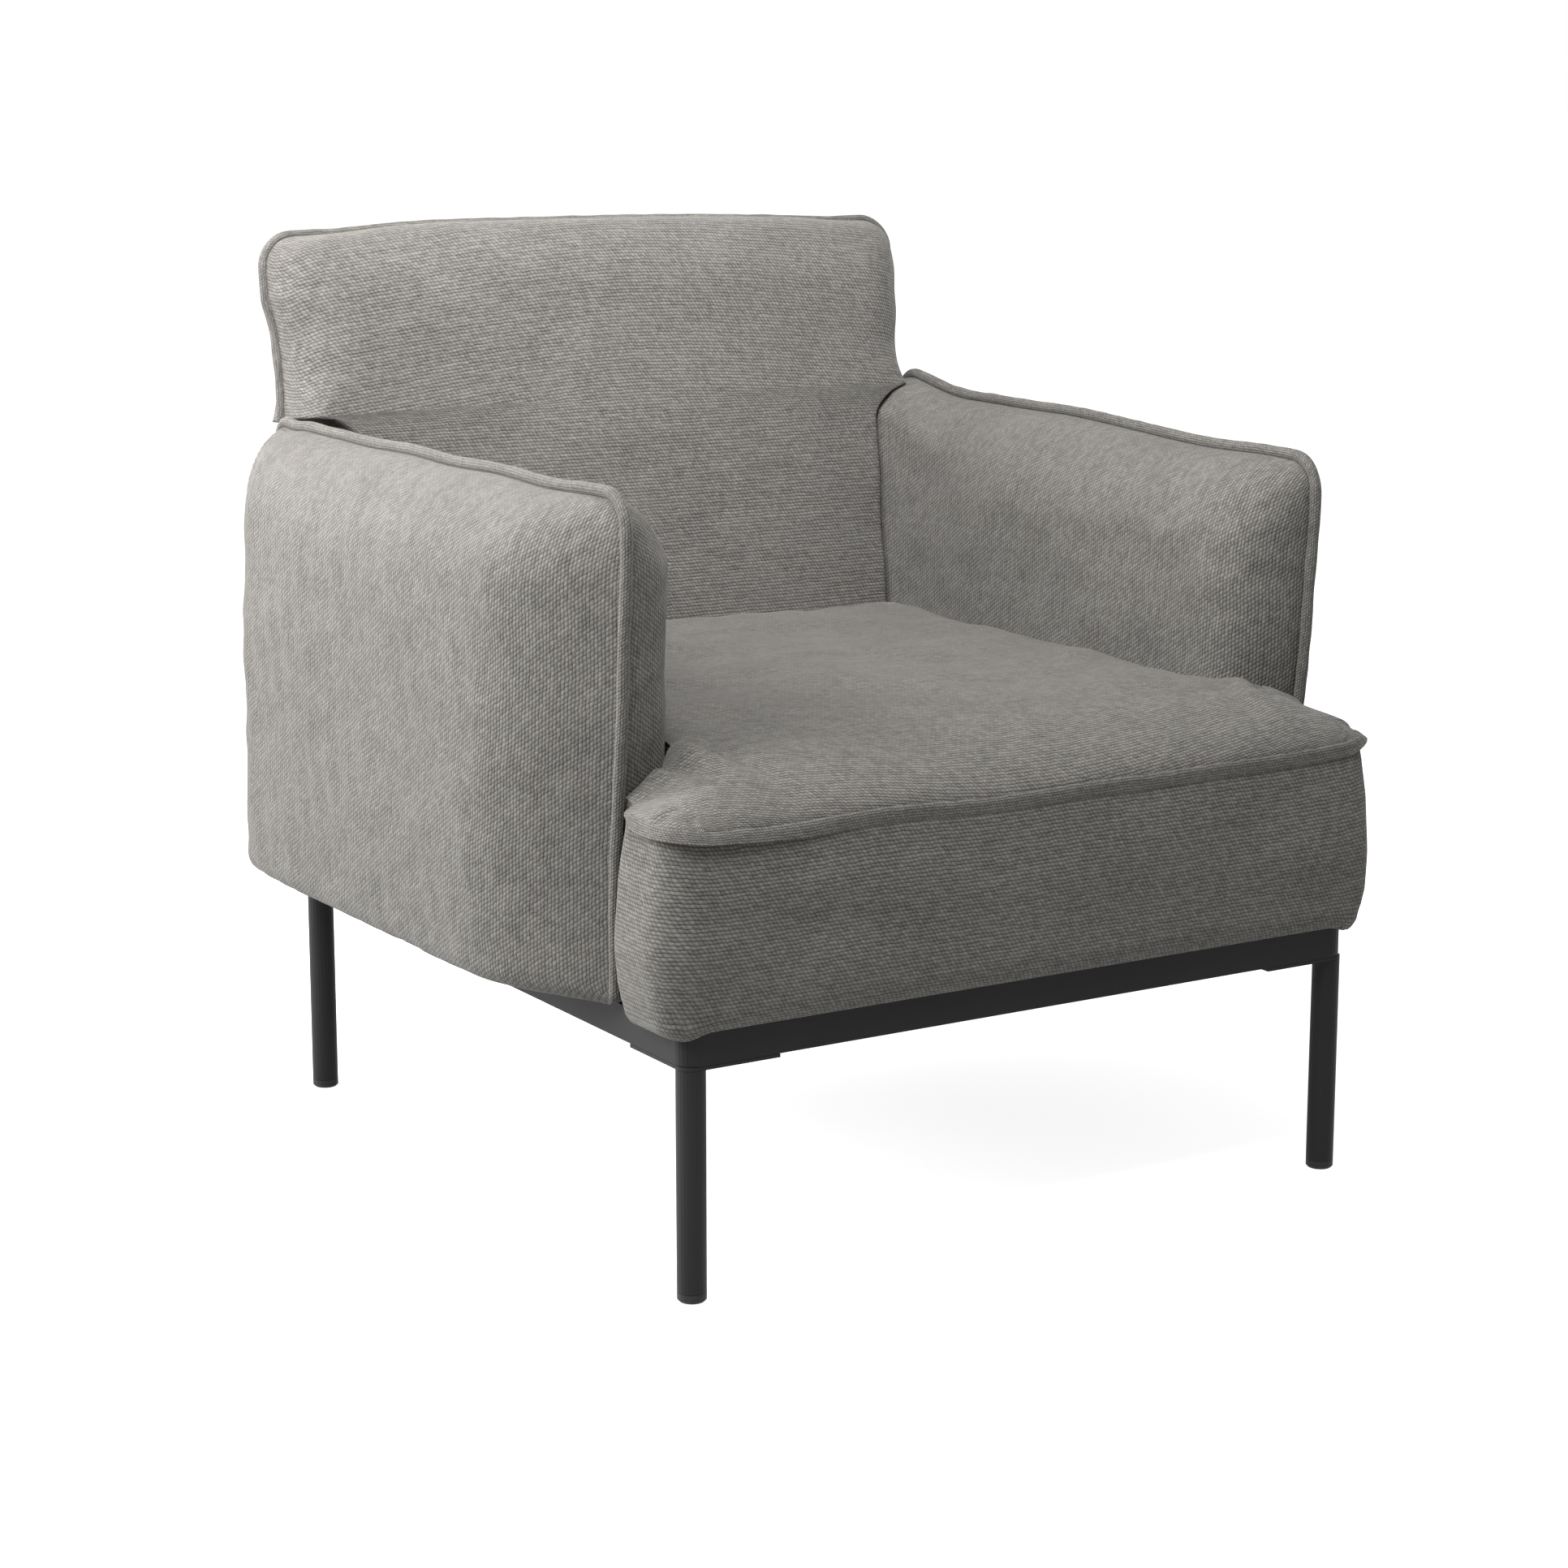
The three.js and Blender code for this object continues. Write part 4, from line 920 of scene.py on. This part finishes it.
def seat():
    """The T-shaped seat: its cover, the lip in its seam and the foam inside."""
    grid = seat_grid()
    rows, columns = grid.shape[:2]
    count = rows * columns
    ring = border(rows, columns)
    size = len(ring)
    top = grid.reshape(-1, 3)
    loop = top[ring]
    outward = level_outward(loop)
    is_open = open_share(loop)
    run = run_along(loop[:, :2])
    walls = seat_walls(loop, outward, is_open, run)

    cells = grid_cells(rows, columns)
    flat = cloth_uv(grid).reshape(-1, 2)
    faces, uvs = [cells], [flat[cells]]
    levels = [ring] + [count + k * size + np.arange(size) for k in range(len(walls))]
    girth = np.concatenate([run, [run[-1] + np.linalg.norm(loop[0, :2] - loop[-1, :2])]])
    depths = run_along(np.concatenate([loop[None], walls])[:, 10])    # measured on the front wall
    for upper, lower, high, low in zip(levels, levels[1:], -depths, -depths[1:]):
        faces.append(np.stack([upper, lower, np.roll(lower, -1), np.roll(upper, -1)], axis=1))
        uvs.append(corner_uvs((girth[:-1], high), (girth[:-1], low), (girth[1:], low), (girth[1:], high)))

    inside = np.ones(count, dtype=bool)
    inside[ring] = False
    number = np.zeros(count, dtype=int)
    number[ring] = levels[-1]
    number[inside] = count + len(walls) * size + np.arange(inside.sum())
    faces.append(number[cells][:, ::-1])
    uvs.append(flat[cells][:, ::-1])
    under = seat_underside(grid, ring, walls[-1])[inside]
    points = np.concatenate([top, walls.reshape(-1, 3), under])
    cushion = make("seat_cushion", points, np.concatenate(faces), np.concatenate(uvs), LEVEL)
    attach(cushion, "root")
    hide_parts("seat_cover")
    seat_lip(loop, outward, is_open)
    seat_filling()


LIP_ROOT = 0.0011           # half the lip's thickness where it leaves the seam
LIP_SEWN = 0.003            # how far it reaches into the seam


def lip_section(width, tip_half):
    """The lip's outline: wedge-thin towards its rounded tip. Each point is (outward, up)."""
    long = width - tip_half
    angles = np.linspace(math.pi / 2, -math.pi / 2, 6)
    tip = [(long + tip_half * math.cos(a), tip_half * math.sin(a)) for a in angles]
    thinner = tip_half - LIP_ROOT
    upper = [(long * f, LIP_ROOT + thinner * f) for f in (0.25, 0.5, 0.75)]
    lower = [(long * f, -LIP_ROOT - thinner * f) for f in (0.75, 0.5, 0.25)]
    return np.array([(-LIP_SEWN, LIP_ROOT)] + upper + tip + lower + [(-LIP_SEWN, -LIP_ROOT)])


def seat_lip(loop, outward, is_open):
    """The flat self-fabric lip sewn into the seam: it hangs along the front and flares at the corners."""
    index = np.where((is_open > 0.5) & (loop[:, 1] < WING_REAR - 0.009))[0]
    order = index[np.argsort(np.arctan2(-loop[index, 1] + SEAT_FRONT + 0.2, loop[index, 0]))]
    path = loop[order]
    normals = np.concatenate([outward[order], np.zeros((len(order), 1))], axis=1)
    run = run_along(path)
    places = np.linspace(0, run[-1], round(run[-1] / CORD_STEP) + 1)
    path = np.stack([np.interp(places, run, path[:, k]) for k in range(3)], axis=1)
    normals = np.stack([np.interp(places, run, normals[:, k]) for k in range(3)], axis=1)
    normals /= np.linalg.norm(normals, axis=1)[:, None]
    is_left = path[:, 0] < 0
    flare_start = np.where(is_left, 0.20, 0.335)
    flare_full = SEAT_X - np.where(is_left, 0.020, 0.004)
    corner = smooth(np.abs(path[:, 0]), flare_start, flare_full)
    droop = np.radians(89 - np.where(is_left, 27, 52) * corner + 1.5 * ripple(places, 0, 0.09, seed=91))
    width = 0.0105 - np.where(is_left, 0.0018, 0.0045) * corner
    ends = np.minimum(places, places[-1] - places)
    taper = smooth(ends, -0.008, 0.016)
    path[:, 2] += 0.0015 * np.exp(-ends / 0.010) * is_left
    tip_half = LIP_ROOT - 0.0007 * (1 - corner)
    up = np.array([0, 0, 1])
    rings = []
    for k in range(len(path)):
        out = normals[k] * math.cos(droop[k]) - up * math.sin(droop[k])
        over = normals[k] * math.sin(droop[k]) + up * math.cos(droop[k])
        section = lip_section(width[k] * taper[k], tip_half[k])
        base = path[k] - over * 0.0002
        rings.append(base + section[:, :1] * out + section[:, 1:] * over)
    lip = ring_mesh("seat_lip", np.array(rings), places, TRIM)
    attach(lip, "root")


def seat_filling():
    """The seat's foam, under the cover and on the webbing, with its rear face leaning as the back does."""
    foam_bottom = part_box("seat_foam")[0].z
    near = seat_grid(inset=SEAT_FOAM_INSET)
    near[:, :, 2] -= SEAT_FOAM_INSET
    near[:, :, 2] = np.maximum(near[:, :, 2], foam_bottom + 0.02)
    far = near.copy()
    far[:, :, 2] = foam_bottom
    far[:, :, 1] += (foam_bottom - near[:, :, 2]) * math.tan(BACK_TILT) * (near[:, :, 1] > 0.1)
    block = slab("seat_filling", near, far, FOAM)
    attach(block, "root")
    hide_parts("seat_foam")


# ---- Floor, light and camera ----
FLOOR_HALF = 40.0
FLOOR_GLOW = 0.80
CAMERA_PLACE = (-1.7049, MID_Y - 2.70806, 1.00311)
CAMERA_DOWN = 0.2065        # radians below level
CAMERA_TURN = -0.556        # radians, towards the chair from its front left
SENSOR = 36                 # millimetres, as is the lens
LENS = 79.96

# Name, place, size, power, the point it faces and its spread in degrees.
LIGHTS = (("key", (-1.9, -0.3, 1.9), 1.3, 115.0, (0.0, 0.1, 0.50), 180),
          ("side", (-2.2, 1.6, 1.4), 1.5, 300.0, (-0.3, 0.1, 0.45), 180),
          ("top", (-0.5, -0.9, 2.5), 1.3, 165.0, (0.0, 0.0, 0.60), 180),
          ("back", (-1.2, -1.4, 2.1), 0.7, 10.0, (-0.14, 0.33, 0.97), 30))


def ground():
    """A pale, plain floor that glows a little, so that it stays white under soft light."""
    a = FLOOR_HALF
    mesh = bpy.data.meshes.new("floor")
    mesh.from_pydata([(-a, -a, 0), (a, -a, 0), (a, a, 0), (-a, a, 0)], [], [(0, 1, 2, 3)])
    plane = bpy.data.objects.new("floor", mesh)
    scene.collection.objects.link(plane)
    material, tree, shader = start("floor", Roughness=0.9, Specular_IOR_Level=0.1,
                                   Emission_Color=(1, 1, 1, 1), Emission_Strength=FLOOR_GLOW)
    tree.links.new(mixed(tree, grain(tree, 3.0), (0.28, 0.28, 0.28, 1), (0.30, 0.30, 0.30, 1)),
                   shader.inputs["Base Color"])
    mesh.materials.append(material)


def lighting():
    """A white surround and four soft round lamps."""
    world = bpy.data.worlds.new("studio")
    world.use_nodes = True
    background = world.node_tree.nodes["Background"]
    background.inputs["Color"].default_value = (1.0, 1.0, 1.0, 1)
    background.inputs["Strength"].default_value = 1.0
    scene.world = world
    for name, place, size, power, aim, spread in LIGHTS:
        light = bpy.data.lights.new(name, "AREA")
        light.shape = "DISK"
        light.size = size
        light.energy = power
        light.spread = math.radians(spread)
        lamp = bpy.data.objects.new(name, light)
        lamp.location = place
        lamp.rotation_euler = (Vector(aim) - Vector(place)).to_track_quat("-Z", "Y").to_euler()
        scene.collection.objects.link(lamp)


def camera():
    """Looks at the chair from its front left and a little from above."""
    data = bpy.data.cameras.new("camera")
    data.sensor_width = SENSOR
    data.lens = LENS
    viewer = bpy.data.objects.new("camera", data)
    viewer.location = CAMERA_PLACE
    viewer.rotation_euler = (math.pi / 2 - CAMERA_DOWN, 0, CAMERA_TURN)
    scene.collection.objects.link(viewer)
    scene.camera = viewer
    scene.view_settings.view_transform = "Standard"


for name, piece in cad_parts.items():
    finish_node(name, piece)
for side in (-1, 1):
    arm(side)
back()
seat()
ground()
lighting()
camera()
